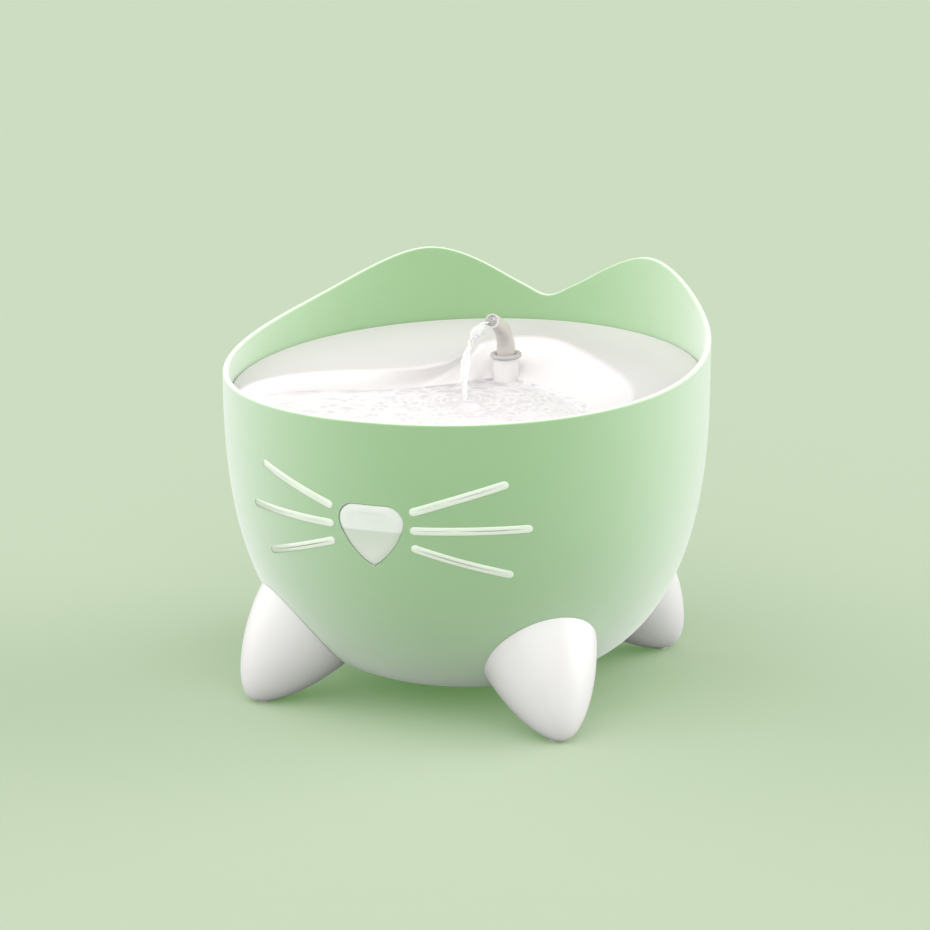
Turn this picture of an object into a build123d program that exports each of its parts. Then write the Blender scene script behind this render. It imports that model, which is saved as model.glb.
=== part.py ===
from build123d import *
import os
from math import cos, hypot, radians, sin, tan

os.makedirs("parts", exist_ok=True)

# A pet water fountain: a round bowl on four feet, with a raised ear-shaped wall at the
# back, a face window at the front, a lift-off drinking top with a spout, and a
# submersible pump in a filter box.
# Millimetres. The origin is on the floor under the middle of the bowl, +Z is up and
# the face looks along -Y. Angles named "from the back" start at +Y.

# ---------------------------------------------------------------------------
# Bowl
# ---------------------------------------------------------------------------
BOWL_RADIUS = 124.5
BOWL_WALL = 3.0
UNDERSIDE_HEIGHT = 7.6  # flat underside over the floor
UNDERSIDE_RADIUS = 28.0
UNDERSIDE_PULL = 72.0  # how far the flat underside leads into the curve
SHOULDER_HEIGHT = 152.0  # the wall is upright above this
SHOULDER_PULL = 85.0
SECTION_TOP = 225.0  # sections run past the ears and are trimmed to the rim
RIM_ROUND = 0.9
# The rim unrolled over one half: degrees from the back, height.
RIM_LINE = (
    (0, 185.1),
    (10, 194.2),
    (20, 205.1),
    (31, 211.0),
    (43, 205.2),
    (60, 190.6),
    (85, 176.0),
    (115, 165.6),
    (147, 160.6),
    (180, 159.5),
)
RIM_STATIONS = 30  # stations of the smooth cut along that half
RIM_SIDE_STATION = 16  # the cut's front stretch starts at this one
RIM_OVERLAP = 2  # stations by which the back stretch runs past it
RIM_CUT_INNER = 9.0  # the cut reaches this far inside and outside the wall
RIM_CUT_OUTER = 6.0

# Face: the nose and the whiskers are openings in the front wall
NOSE_TOP = 119.8
NOSE_TIP = 88.6
NOSE_HALF_WIDTH = 18.4
NOSE_SIDE = (12.8, 101.2)  # a point that the rounded side passes through
NOSE_CORNER_ROUND = 8.5
NOSE_TIP_ROUND = 5.0
WHISKER_WIDTH = 2.6
# Near end and far end of each whisker on one side: across, height.
WHISKERS = (
    ((21.6, 117.6), (61.6, 131.0)),
    ((21.6, 108.3), (70.6, 109.2)),
    ((21.6, 99.3), (61.6, 86.6)),
)
FACE_GAP = 0.2  # around the window's ribs in their openings
FACE_RECESS = 0.8  # ribs end this far behind the bowl's outside

# Window behind the face
WINDOW_WIDTH = 162.0
WINDOW_LOW = 77.0
WINDOW_HIGH = 137.0
WINDOW_CORNER = 12.0
WINDOW_PLATE = 2.2
GASKET_THICKNESS = 1.2
GASKET_WIDTH = 4.5
SEAL_GAP = 0.2

# ---------------------------------------------------------------------------
# Feet
# ---------------------------------------------------------------------------
FOOT_ANGLE = 45.0  # of the front feet from the front
FRONT_TIP_INSET = 4.5  # of the foot's tip inside the bowl's radius
REAR_TIP_INSET = 0.5
FOOT_TIP_HEIGHT = 2.3
FOOT_LEAN = 49.6  # rise of the foot's own axis, degrees
FOOT_LENGTH = 58.0  # along its own axis, into the bowl
FOOT_RADIUS = 30.5  # at that end
FOOT_TIP_PULL = 12.5  # how far the blunt tip leads out before it turns along the axis
FOOT_END_PULL = 22.0
FOOT_WALL = 2.6
FOOT_SOLE_HEIGHT = 0.5
FOOT_GAP = 0.15
FOOT_POST_RADIUS = 5.4
FOOT_POST_INSET = 25.5  # of the screw inside the bowl's radius
FOOT_JOINT_HEIGHT = 32.0  # where the foot's post meets the bowl's boss
SCREW_SEAT_HEIGHT = 22.0
SCREW_ACCESS_RADIUS = 3.6
SCREW_HOLE_RADIUS = 1.7
SCREW_RADIUS = 1.45
SCREW_HEAD_RADIUS = 3.0
SCREW_HEAD_HEIGHT = 2.4
SCREW_DEPTH = 8.5  # of thread in the bowl's boss
PILOT_DEPTH = 9.5
PAD_SETBACK = 8.4  # of the pad inward from the foot's tip
PAD_RADIUS = 4.0
PAD_THICKNESS = 1.6
PAD_GAP = 0.15

# ---------------------------------------------------------------------------
# Cable outlet
# ---------------------------------------------------------------------------
OUTLET_HEIGHT = 144.0
OUTLET_RADIUS = 4.6
GROMMET_FLANGE_RADIUS = 7.0
GROMMET_FLANGE = 1.6
GROMMET_BORE_RADIUS = 2.3
GROMMET_GAP = 0.1

# ---------------------------------------------------------------------------
# Drinking top
# ---------------------------------------------------------------------------
DECK_HEIGHT = 159.0  # of the deck over the bowl's middle
DECK_TILT = 5.8  # degrees, higher at the back
TOP_GAP = 0.6  # between the top and the bowl's wall
TOP_WALL = 2.4
TOP_SKIRT = 6.0
TOP_EDGE_ROUND = 0.8
SEAT_WIDTH = 3.2
SEAT_THICKNESS = 2.6
BASIN_FLOOR = 142.0
BASIN_FLOOR_ROUND = 3.0
BASIN_LIP_ROUND = 1.5
# The basin's outline on the deck and on its floor, point for point, anticlockwise.
BASIN_RIM = (
    (96.0, -18.0),
    (85.0, 13.0),
    (64.0, 41.0),
    (37.0, 70.0),
    (8.0, 87.0),
    (-13.0, 78.0),
    (-19.0, 55.0),
    (-19.0, 33.0),
    (-30.0, 14.5),
    (-58.0, 2.0),
    (-88.0, -12.0),
    (-103.0, -30.0),
    (-106.0, -46.0),
    (-98.0, -64.0),
    (-75.0, -84.0),
    (-30.0, -102.0),
    (20.0, -104.0),
    (62.0, -89.0),
    (89.0, -57.0),
)
BASIN_BED = (
    (62.0, -22.0),
    (55.0, -5.0),
    (42.0, 13.0),
    (24.0, 33.0),
    (6.0, 46.0),
    (-10.0, 46.0),
    (-16.5, 39.0),
    (-17.0, 28.0),
    (-29.0, 11.0),
    (-57.0, -2.0),
    (-86.0, -15.0),
    (-99.5, -32.0),
    (-102.0, -46.0),
    (-95.0, -61.5),
    (-73.0, -80.0),
    (-29.0, -98.0),
    (18.0, -99.0),
    (53.0, -82.0),
    (66.0, -52.0),
)
DRAIN_SLOTS = 7
DRAIN_STEP = 9.0  # degrees between the overflow slots
DRAIN_SLOT_WIDTH = 11.0
DRAIN_SLOT_HEIGHT = 2.0
DRAIN_HEIGHT = 144.6
DRAIN_INNER = 86.0
DRAIN_OUTER = 112.0

# Spout
SPOUT_DEPTH = 57.0  # behind the bowl's axis
PILLAR_RADIUS = 7.3
PILLAR_DROP = 4.4  # pillar's top under the deck
SOCKET_LOW = 134.0
SPOUT_GAP = 0.1  # around the stem in the pillar
RING_RADIUS = 8.5
RING_THICKNESS = 2.2
RING_ROUND = 1.0
RING_GAP = 0.3
SPOUT_RADIUS = 5.0
SPOUT_WALL = 1.3
SPOUT_STEM_LOW = 152.0
SPOUT_BEND_LOW = 164.0
SPOUT_BEND = (52.6, 174.2)  # a point of the bend: depth, height
NOZZLE = (36.0, 183.0)
NOZZLE_RISE = 0.34
NOZZLE_RADIUS = 3.9
NOZZLE_WALL = 0.9

# ---------------------------------------------------------------------------
# Filter box, on the bowl's floor around the pump
# ---------------------------------------------------------------------------
BOX_DEPTH = 12.0  # its middle, behind the bowl's axis
BOX_RADIUS = 45.0
BOX_WALL = 2.0
BOX_FLOOR = 16.0  # inside height of its floor
BOX_TOP = 76.0
BOX_BOTTOM_ROUND = 6.0
BOX_LEGS = 3
BOX_LEG_RADIUS = 4.0
BOX_LEG_DISTANCE = 26.0
BOX_LEG_GAP = 0.25
BOX_WINDOWS = 12
BOX_WINDOW_WIDTH = 5.0
BOX_WINDOW_REACH = 6.0  # across the wall
BOX_WINDOW_LOW = 26.0
BOX_WINDOW_HIGH = 50.0
BOX_LEDGE_HEIGHT = 60.0
BOX_LEDGE_WIDTH = 2.4
BOX_LEDGE_THICKNESS = 2.0
FILTER_GAP = 0.4
FILTER_WALL = 1.6
FILTER_HEIGHT = 13.0
FILTER_RIBS = 5
FILTER_RIB_WIDTH = 2.0
FILTER_RIB_STEP = 12.0
FILTER_FLOOR = 1.6
MEDIA_HEIGHT = 6.0
FOAM_HEIGHT = 4.6
LAYER_GAP = 0.3
LID_THICKNESS = 2.0
LID_GRIP_LENGTH = 26.0
LID_GRIP_WIDTH = 3.0
LID_GRIP_HEIGHT = 9.0

# ---------------------------------------------------------------------------
# Pump, inside the filter box
# ---------------------------------------------------------------------------
PUMP_BOTTOM = 20.0
PUMP_WIDTH = 40.0
PUMP_HEIGHT = 38.0
PUMP_BACK = 17.0  # the wet end's joint face, behind the bowl's axis
PUMP_LENGTH = 34.0
PUMP_ROUND = 5.0
ROTOR_HEIGHT = 39.0  # of the rotor's axis
CAN_RADIUS = 8.4
CAN_DEPTH = 26.0
CAN_WALL = 1.6
MAGNET_RADIUS = 7.8
MAGNET_LENGTH = 20.0
MAGNET_SETBACK = 1.6  # from the wet end's joint face
SHAFT_RADIUS = 1.25
SHAFT_GAP = 0.05
RUN_GAP = 0.3  # between turning and fixed faces
BUSH_RADIUS = 3.0
BUSH_LENGTH = 3.0
BUSH_SEAT_WALL = 1.0
PLATE_THICKNESS = 2.0
PLATE_BORE_RADIUS = 4.2
CHAMBER_RADIUS = 13.0
CHAMBER_DEPTH = 9.0
COVER_RADIUS = 15.6
COVER_WALL = 2.0
IMPELLER_RADIUS = 10.6
IMPELLER_DISC = 1.6
BLADES = 6
BLADE_HEIGHT = 3.4
BLADE_THICKNESS = 1.2
BLADE_SWEEP = 3.6
HUB_RADIUS = 3.4
NIPPLE_GAP = 0.1  # between the outlet nipple and the riser around it
NIPPLE_WALL = 1.2
NIPPLE_TOP = 62.0
INTAKE_HOLES = 6
INTAKE_HOLE_RADIUS = 2.0
INTAKE_RADIUS = 8.4
KNOB_RADIUS = 12.4
KNOB_THICKNESS = 2.2
KNOB_PIN_RADIUS = 2.4
KNOB_TAB_WIDTH = 5.0
KNOB_TAB_LENGTH = 5.0
CORE_THICKNESS = 5.0
CORE_LENGTH = 15.0
CORE_FLOOR = 2.5  # housing wall under the core
COIL_WIDTH = 15.0
COIL_BUILD = 2.7  # winding around the core's bar
POTTING_GAP = 0.2
CUP_SPREAD = 13.0  # suction cups from the pump's middle, both ways
CUP_RADIUS = 6.0
CUP_NECK_RADIUS = 2.4
CUP_STEM = 3.0
CUP_SKIRT = 2.0
CUP_TAPER = 40.0

# Riser tube from the pump's outlet to the spout's pillar
RISER_RADIUS = 4.0
RISER_WALL = 1.2
RISER_TOP = 151.2
RISER_STRAIGHT = 82.0  # upright up to here
RISER_UPPER = 130.0  # and again from here
RISER_HOLE_GAP = 1.0

# ---------------------------------------------------------------------------
# Planes that the pieces share
# ---------------------------------------------------------------------------
WALL_RADIUS = BOWL_RADIUS - BOWL_WALL
TOP_RADIUS = WALL_RADIUS - TOP_GAP
FOOT_POST_DISTANCE = BOWL_RADIUS - FOOT_POST_INSET
# Each foot: degrees from the front, distance of its tip from the bowl's axis.
FEET = {
    "front_left": (-FOOT_ANGLE, BOWL_RADIUS - FRONT_TIP_INSET),
    "front_right": (FOOT_ANGLE, BOWL_RADIUS - FRONT_TIP_INSET),
    "rear_right": (180 - FOOT_ANGLE, BOWL_RADIUS - REAR_TIP_INSET),
    "rear_left": (FOOT_ANGLE - 180, BOWL_RADIUS - REAR_TIP_INSET),
}
DECK_NORMAL = (0, -sin(radians(DECK_TILT)), cos(radians(DECK_TILT)))
DECK = Plane(origin=(0, 0, DECK_HEIGHT), x_dir=(1, 0, 0), z_dir=DECK_NORMAL)
PILLAR_HEIGHT = DECK_HEIGHT + SPOUT_DEPTH * tan(radians(DECK_TILT)) - PILLAR_DROP
RING_SEAT = Plane(origin=(0, SPOUT_DEPTH, PILLAR_HEIGHT), x_dir=(1, 0, 0), z_dir=DECK_NORMAL)
FRONT = Plane.XZ.offset(BOWL_RADIUS / 2)  # sketches here are pushed through the front wall
FRONT_REACH = BOWL_RADIUS / 2 + RIM_CUT_OUTER
TOP_DRUM = Plane.XY.offset(BASIN_FLOOR - BOWL_RADIUS / 2)  # round slabs of the top start here


def write(piece, name):
    """Label one finished piece and write it as a STEP file."""
    piece.part.label = name
    export_step(piece.part, f"parts/{name}.step")


def bowl_section(inset):
    """Sketch the right half of the bowl's filled section, moved in by inset."""
    span, height = BOWL_RADIUS - UNDERSIDE_RADIUS, SHOULDER_HEIGHT - UNDERSIDE_HEIGHT
    low, wide = UNDERSIDE_HEIGHT + inset, BOWL_RADIUS - inset
    high = SECTION_TOP + abs(inset)
    with BuildSketch(Plane.XZ) as section:
        with BuildLine():
            Bezier(
                (UNDERSIDE_RADIUS, low),
                (UNDERSIDE_RADIUS + UNDERSIDE_PULL * (1 - inset / span), low),
                (wide, SHOULDER_HEIGHT - SHOULDER_PULL * (1 - inset / height)),
                (wide, SHOULDER_HEIGHT),
            )
            Polyline((wide, SHOULDER_HEIGHT), (wide, high), (0, high), (0, low), (UNDERSIDE_RADIUS, low))
        make_face()
    return section.sketch


def radial_plane(angle):
    """Upright plane through the bowl's axis, angle in degrees from the back."""
    out = (sin(radians(angle)), cos(radians(angle)), 0)
    return Plane(origin=(0, 0, 0), x_dir=out, z_dir=(out[1], -out[0], 0))


def foot_plane(angle, tip_distance):
    """Plane at a foot's tip: x runs up the foot's own axis, y outward from it."""
    out = Vector(sin(radians(angle)), -cos(radians(angle)), 0)
    up = Vector(0, 0, 1)
    lean = radians(FOOT_LEAN)
    along = up * sin(lean) - out * cos(lean)
    across = up * cos(lean) + out * sin(lean)
    tip = out * tip_distance + up * FOOT_TIP_HEIGHT
    return Plane(origin=tip, x_dir=along, z_dir=along.cross(across))


def foot_spot(angle, distance):
    """Place on the floor under a foot, distance from the bowl's axis."""
    return (distance * sin(radians(angle)), -distance * cos(radians(angle)))


def grown(points, amount):
    """Move each point of a closed anticlockwise outline outward by amount."""
    moved = []
    for i, (x, y) in enumerate(points):
        before, after = points[i - 1], points[(i + 1) % len(points)]
        run, rise = after[0] - before[0], after[1] - before[1]
        length = hypot(run, rise)
        moved.append((x + amount * rise / length, y - amount * run / length))
    return moved


def outline(plane, points):
    """Sketch a smooth closed outline through points."""
    with BuildSketch(plane) as shape:
        with BuildLine():
            Spline(*points, periodic=True)
        make_face()
    return shape.sketch


def nose_shape(inset):
    """Rounded triangle of the nose, standing in the front view."""
    with BuildSketch(FRONT) as shape:
        with BuildLine():
            Line((-NOSE_HALF_WIDTH, NOSE_TOP), (NOSE_HALF_WIDTH, NOSE_TOP))
            ThreePointArc((NOSE_HALF_WIDTH, NOSE_TOP), NOSE_SIDE, (0, NOSE_TIP))
            ThreePointArc(
                (0, NOSE_TIP), (-NOSE_SIDE[0], NOSE_SIDE[1]), (-NOSE_HALF_WIDTH, NOSE_TOP)
            )
        nose = make_face()
        corners = nose.vertices().group_by(Axis.Y)
        fillet(corners[-1], NOSE_CORNER_ROUND)
        fillet(nose.vertices().sort_by(Axis.Y)[0], NOSE_TIP_ROUND)
        if inset:
            offset(amount=-inset, mode=Mode.REPLACE)
    return shape.sketch


def whisker_shapes(inset):
    """Six round-ended strokes beside the nose, in the front view."""
    with BuildSketch(FRONT) as shape:
        for side in (-1, 1):
            for (x0, z0), (x1, z1) in WHISKERS:
                middle = (side * (x0 + x1) / 2, (z0 + z1) / 2)
                SlotCenterPoint(middle, (side * x1, z1), WHISKER_WIDTH - 2 * inset)
    return shape.sketch


def window_shape(inset):
    """Rounded oblong of the window, in the front view."""
    height = WINDOW_HIGH - WINDOW_LOW
    with BuildSketch(FRONT) as shape:
        with Locations((0, WINDOW_LOW + height / 2)):
            RectangleRounded(WINDOW_WIDTH - 2 * inset, height - 2 * inset, WINDOW_CORNER - inset)
    return shape.sketch


# ---------------------------------------------------------------------------
# Bowl
# ---------------------------------------------------------------------------
# The rim is drawn unrolled and wrapped round the wall: radial stations follow it.
with BuildLine() as unrolled_rim:
    Spline(*RIM_LINE)


def rim_section(station):
    """Sketch what is cut away over the rim at one station, counted round from the back."""
    turn = station / RIM_STATIONS  # 1 at the front, 2 at the back again
    spot = unrolled_rim.line @ min(abs(turn), 2 - turn)
    with BuildSketch(radial_plane(spot.X if 0 <= turn <= 1 else -spot.X)) as section:
        with Locations((BOWL_RADIUS - RIM_CUT_INNER, spot.Y)):
            Rectangle(
                RIM_CUT_INNER + RIM_CUT_OUTER,
                SECTION_TOP + RIM_CUT_OUTER - spot.Y,
                align=(Align.MIN, Align.MIN),
            )
    return section.sketch


BACK_STATIONS = RIM_SIDE_STATION + RIM_OVERLAP

with BuildPart() as rim_cut:
    loft([rim_section(i) for i in range(-BACK_STATIONS, BACK_STATIONS + 1)])
    loft([rim_section(i) for i in range(RIM_SIDE_STATION, 2 * RIM_STATIONS - RIM_SIDE_STATION + 1)])

with BuildPart() as top_seat:
    with BuildSketch(TOP_DRUM):
        Circle(BOWL_RADIUS - BOWL_WALL / 2)
        Circle(WALL_RADIUS - SEAT_WIDTH, mode=Mode.SUBTRACT)
    extrude(amount=BOWL_RADIUS)
    split(bisect_by=DECK.offset(-TOP_SKIRT), keep=Keep.BOTTOM)
    split(bisect_by=DECK.offset(-TOP_SKIRT - SEAT_THICKNESS), keep=Keep.TOP)

SCREW_SPOTS = [foot_spot(angle, FOOT_POST_DISTANCE) for angle, _ in FEET.values()]

with BuildPart() as bowl:
    revolve(bowl_section(0), axis=Axis.Z)
    with BuildSketch(Plane.XY.offset(FOOT_JOINT_HEIGHT)):
        with Locations(*SCREW_SPOTS):
            Circle(FOOT_POST_RADIUS)
    extrude(amount=BOWL_RADIUS)
    revolve(bowl_section(BOWL_WALL), axis=Axis.Z, mode=Mode.SUBTRACT)
    with BuildSketch(Plane.XY.offset(FOOT_JOINT_HEIGHT)):
        with Locations(*SCREW_SPOTS):
            Circle(SCREW_HOLE_RADIUS)
    extrude(amount=PILOT_DEPTH, mode=Mode.SUBTRACT)
    add(rim_cut.part, mode=Mode.SUBTRACT)
    rim_edges = bowl.edges().filter_by(lambda e: e.length > BOWL_RADIUS and e.center().Z > DECK_HEIGHT)
    fillet(rim_edges, RIM_ROUND)
    add(top_seat.part)
    extrude(nose_shape(0), amount=FRONT_REACH, mode=Mode.SUBTRACT)
    extrude(whisker_shapes(0), amount=FRONT_REACH, mode=Mode.SUBTRACT)
    with BuildSketch(Plane.XZ.offset(-BOWL_RADIUS - RIM_CUT_OUTER)):
        with Locations((0, OUTLET_HEIGHT)):
            Circle(OUTLET_RADIUS)
    extrude(amount=BOWL_RADIUS / 2, mode=Mode.SUBTRACT)
write(bowl, "bowl")

# ---------------------------------------------------------------------------
# Face window and its gasket
# ---------------------------------------------------------------------------
GASKET_INSET = BOWL_WALL + SEAL_GAP
PLATE_INSET = GASKET_INSET + GASKET_THICKNESS + SEAL_GAP

with BuildPart() as face_ribs:
    revolve(bowl_section(FACE_RECESS), axis=Axis.Z)
    revolve(bowl_section(PLATE_INSET + WINDOW_PLATE / 2), axis=Axis.Z, mode=Mode.SUBTRACT)
    extrude(nose_shape(FACE_GAP) + whisker_shapes(FACE_GAP), amount=FRONT_REACH, mode=Mode.INTERSECT)

with BuildPart() as face_window:
    revolve(bowl_section(PLATE_INSET), axis=Axis.Z)
    revolve(bowl_section(PLATE_INSET + WINDOW_PLATE), axis=Axis.Z, mode=Mode.SUBTRACT)
    extrude(window_shape(0), amount=FRONT_REACH, mode=Mode.INTERSECT)
    add(face_ribs.part)
write(face_window, "face_window")

with BuildPart() as window_gasket:
    revolve(bowl_section(GASKET_INSET), axis=Axis.Z)
    revolve(bowl_section(GASKET_INSET + GASKET_THICKNESS), axis=Axis.Z, mode=Mode.SUBTRACT)
    extrude(window_shape(0), amount=FRONT_REACH, mode=Mode.INTERSECT)
    extrude(window_shape(GASKET_WIDTH), amount=FRONT_REACH, mode=Mode.SUBTRACT)
write(window_gasket, "window_gasket")

# ---------------------------------------------------------------------------
# Feet, their pads and screws
# ---------------------------------------------------------------------------
with BuildPart() as bowl_envelope:
    revolve(bowl_section(-FOOT_GAP), axis=Axis.Z)


def foot_bullet(plane, wall):
    """Turn the foot's rounded section about the plane's x axis, wall inside the outside."""
    with BuildSketch(plane) as section:
        with BuildLine():
            Bezier(
                (wall, 0),
                (wall, FOOT_TIP_PULL - wall),
                (FOOT_LENGTH - FOOT_END_PULL, FOOT_RADIUS - wall),
                (FOOT_LENGTH, FOOT_RADIUS - wall),
            )
            Polyline((FOOT_LENGTH, FOOT_RADIUS - wall), (FOOT_LENGTH, 0), (wall, 0))
        make_face()
    revolve(section.sketch, axis=Axis(plane.origin, plane.x_dir))


def make_foot(angle, tip_distance):
    """Hollow foot that hugs the bowl, with a screw post and a sole recess."""
    plane = foot_plane(angle, tip_distance)
    post = foot_spot(angle, FOOT_POST_DISTANCE)
    pad = foot_spot(angle, tip_distance - PAD_SETBACK)
    with BuildPart() as hollow:
        foot_bullet(plane, FOOT_WALL)
        with BuildSketch():
            with Locations(post):
                Circle(FOOT_POST_RADIUS)
        extrude(amount=FOOT_JOINT_HEIGHT, mode=Mode.SUBTRACT)
    with BuildPart() as foot:
        foot_bullet(plane, 0)
        add(hollow.part, mode=Mode.SUBTRACT)
        split(bisect_by=Plane.XY.offset(FOOT_SOLE_HEIGHT))
        with BuildSketch(Plane.XY.offset(FOOT_SOLE_HEIGHT)):
            with Locations(pad):
                Circle(PAD_RADIUS + PAD_GAP)
        extrude(amount=PAD_THICKNESS - FOOT_SOLE_HEIGHT, mode=Mode.SUBTRACT)
        with BuildSketch(Plane.XY.offset(FOOT_SOLE_HEIGHT)):
            with Locations(post):
                Circle(SCREW_ACCESS_RADIUS)
        extrude(amount=SCREW_SEAT_HEIGHT - FOOT_SOLE_HEIGHT, mode=Mode.SUBTRACT)
        with BuildSketch(Plane.XY.offset(SCREW_SEAT_HEIGHT)):
            with Locations(post):
                Circle(SCREW_HOLE_RADIUS)
        extrude(amount=FOOT_JOINT_HEIGHT, mode=Mode.SUBTRACT)
        add(bowl_envelope.part, mode=Mode.SUBTRACT)
    return foot


for foot_name, (foot_angle, foot_reach) in FEET.items():
    write(make_foot(foot_angle, foot_reach), f"foot_{foot_name}")
    with BuildPart() as foot_pad:
        with BuildSketch():
            with Locations(foot_spot(foot_angle, foot_reach - PAD_SETBACK)):
                Circle(PAD_RADIUS)
        extrude(amount=PAD_THICKNESS)
    write(foot_pad, f"foot_pad_{foot_name}")

with BuildPart() as foot_screws:
    with BuildSketch(Plane.XY.offset(SCREW_SEAT_HEIGHT - SCREW_HEAD_HEIGHT)):
        with Locations(*SCREW_SPOTS):
            Circle(SCREW_HEAD_RADIUS)
    extrude(amount=SCREW_HEAD_HEIGHT)
    with BuildSketch(Plane.XY.offset(SCREW_SEAT_HEIGHT)):
        with Locations(*SCREW_SPOTS):
            Circle(SCREW_RADIUS)
    extrude(amount=FOOT_JOINT_HEIGHT + SCREW_DEPTH - SCREW_SEAT_HEIGHT)
write(foot_screws, "foot_screws")

# ---------------------------------------------------------------------------
# Cable outlet grommet in the back wall
# ---------------------------------------------------------------------------
OUTLET_INSIDE = Plane.XZ.offset(-(WALL_RADIUS - GROMMET_FLANGE))
GROMMET_LENGTH = BOWL_WALL + 2 * GROMMET_FLANGE

with BuildPart() as wall_space:
    revolve(bowl_section(-GROMMET_GAP), axis=Axis.Z)
    revolve(bowl_section(BOWL_WALL + GROMMET_GAP), axis=Axis.Z, mode=Mode.SUBTRACT)

with BuildPart() as cable_grommet:
    with BuildSketch(OUTLET_INSIDE):
        with Locations((0, OUTLET_HEIGHT)):
            Circle(GROMMET_FLANGE_RADIUS)
    extrude(amount=-GROMMET_LENGTH)
    add(wall_space.part, mode=Mode.SUBTRACT)
    with BuildSketch(OUTLET_INSIDE):
        with Locations((0, OUTLET_HEIGHT)):
            Circle(OUTLET_RADIUS - GROMMET_GAP)
    extrude(amount=-GROMMET_LENGTH)
    with BuildSketch(OUTLET_INSIDE):
        with Locations((0, OUTLET_HEIGHT)):
            Circle(GROMMET_BORE_RADIUS)
    extrude(amount=-GROMMET_LENGTH, mode=Mode.SUBTRACT)
write(cable_grommet, "cable_grommet")

# ---------------------------------------------------------------------------
# Drinking top
# ---------------------------------------------------------------------------
with BuildPart() as top_hollow:
    with BuildSketch(TOP_DRUM):
        Circle(TOP_RADIUS - TOP_WALL)
    extrude(amount=BOWL_RADIUS)
    split(bisect_by=DECK.offset(-TOP_WALL), keep=Keep.BOTTOM)

with BuildPart() as basin_shell:
    loft(
        [
            outline(DECK, grown(BASIN_RIM, TOP_WALL)),
            outline(Plane.XY.offset(BASIN_FLOOR - TOP_WALL), grown(BASIN_BED, TOP_WALL)),
        ]
    )

with BuildPart() as basin_space:
    loft([outline(DECK, BASIN_RIM), outline(Plane.XY.offset(BASIN_FLOOR), BASIN_BED)])
    fillet(basin_space.faces().sort_by(Axis.Z)[0].edges(), BASIN_FLOOR_ROUND)

with BuildPart() as pillar:
    with BuildSketch(Plane.XY.offset(SOCKET_LOW)):
        with Locations((0, SPOUT_DEPTH)):
            Circle(PILLAR_RADIUS)
    extrude(amount=BOWL_RADIUS / 2)
    split(bisect_by=RING_SEAT, keep=Keep.BOTTOM)

with BuildPart() as drinking_top:
    with BuildSketch(TOP_DRUM):
        Circle(TOP_RADIUS)
    extrude(amount=BOWL_RADIUS)
    split(bisect_by=DECK, keep=Keep.BOTTOM)
    split(bisect_by=DECK.offset(-TOP_SKIRT), keep=Keep.TOP)
    fillet(drinking_top.faces().sort_by(Axis.Z)[-1].edges(), TOP_EDGE_ROUND)
    add(top_hollow.part, mode=Mode.SUBTRACT)
    add(basin_shell.part)
    add(basin_space.part, mode=Mode.SUBTRACT)
    add(pillar.part)
    with BuildSketch(Plane.XY.offset(SOCKET_LOW)):
        with Locations((0, SPOUT_DEPTH)):
            Circle(SPOUT_RADIUS + SPOUT_GAP)
    extrude(amount=BOWL_RADIUS / 2, mode=Mode.SUBTRACT)
    drain_planes = []
    for i in range(DRAIN_SLOTS):
        drain_angle = radians(DRAIN_STEP * (i - (DRAIN_SLOTS - 1) / 2))
        drain_out = Vector(sin(drain_angle), -cos(drain_angle), 0)
        drain_origin = drain_out * DRAIN_INNER + Vector(0, 0, DRAIN_HEIGHT)
        drain_planes.append(
            Plane(origin=drain_origin, x_dir=(-drain_out.Y, drain_out.X, 0), z_dir=drain_out)
        )
    with BuildSketch(*drain_planes):
        SlotOverall(DRAIN_SLOT_WIDTH, DRAIN_SLOT_HEIGHT)
    extrude(amount=DRAIN_OUTER - DRAIN_INNER, mode=Mode.SUBTRACT)
    deck_face = drinking_top.faces().filter_by(DECK).sort_by(SortBy.AREA)[-1]
    basin_lip = deck_face.inner_wires().sort_by(SortBy.LENGTH)[-1]
    fillet(basin_lip.edges(), BASIN_LIP_ROUND)
write(drinking_top, "drinking_top")

with BuildPart() as spout_ring:
    with BuildSketch(RING_SEAT):
        Circle(RING_RADIUS)
        Circle(SPOUT_RADIUS + RING_GAP, mode=Mode.SUBTRACT)
    extrude(amount=RING_THICKNESS)
    fillet(spout_ring.edges(), RING_ROUND)
write(spout_ring, "spout_ring")

# ---------------------------------------------------------------------------
# Spout: an upright stem and a bent, tapering nozzle
# ---------------------------------------------------------------------------
with BuildLine(Plane.YZ) as spout_path:
    Spline(
        (SPOUT_DEPTH, SPOUT_BEND_LOW),
        SPOUT_BEND,
        NOZZLE,
        tangents=[(0, 1), (-1, NOZZLE_RISE)],
    )


def spout_sweep(start_radius, end_radius, mode):
    """Sweep a round section along the spout's bend, from one radius to the other."""
    path = spout_path.line
    with BuildSketch(Plane(origin=path @ 0, x_dir=(1, 0, 0), z_dir=path % 0)) as start:
        Circle(start_radius)
    with BuildSketch(Plane(origin=path @ 1, x_dir=(1, 0, 0), z_dir=path % 1)) as end:
        Circle(end_radius)
    sweep([start.sketch, end.sketch], path=path, multisection=True, mode=mode)


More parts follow.
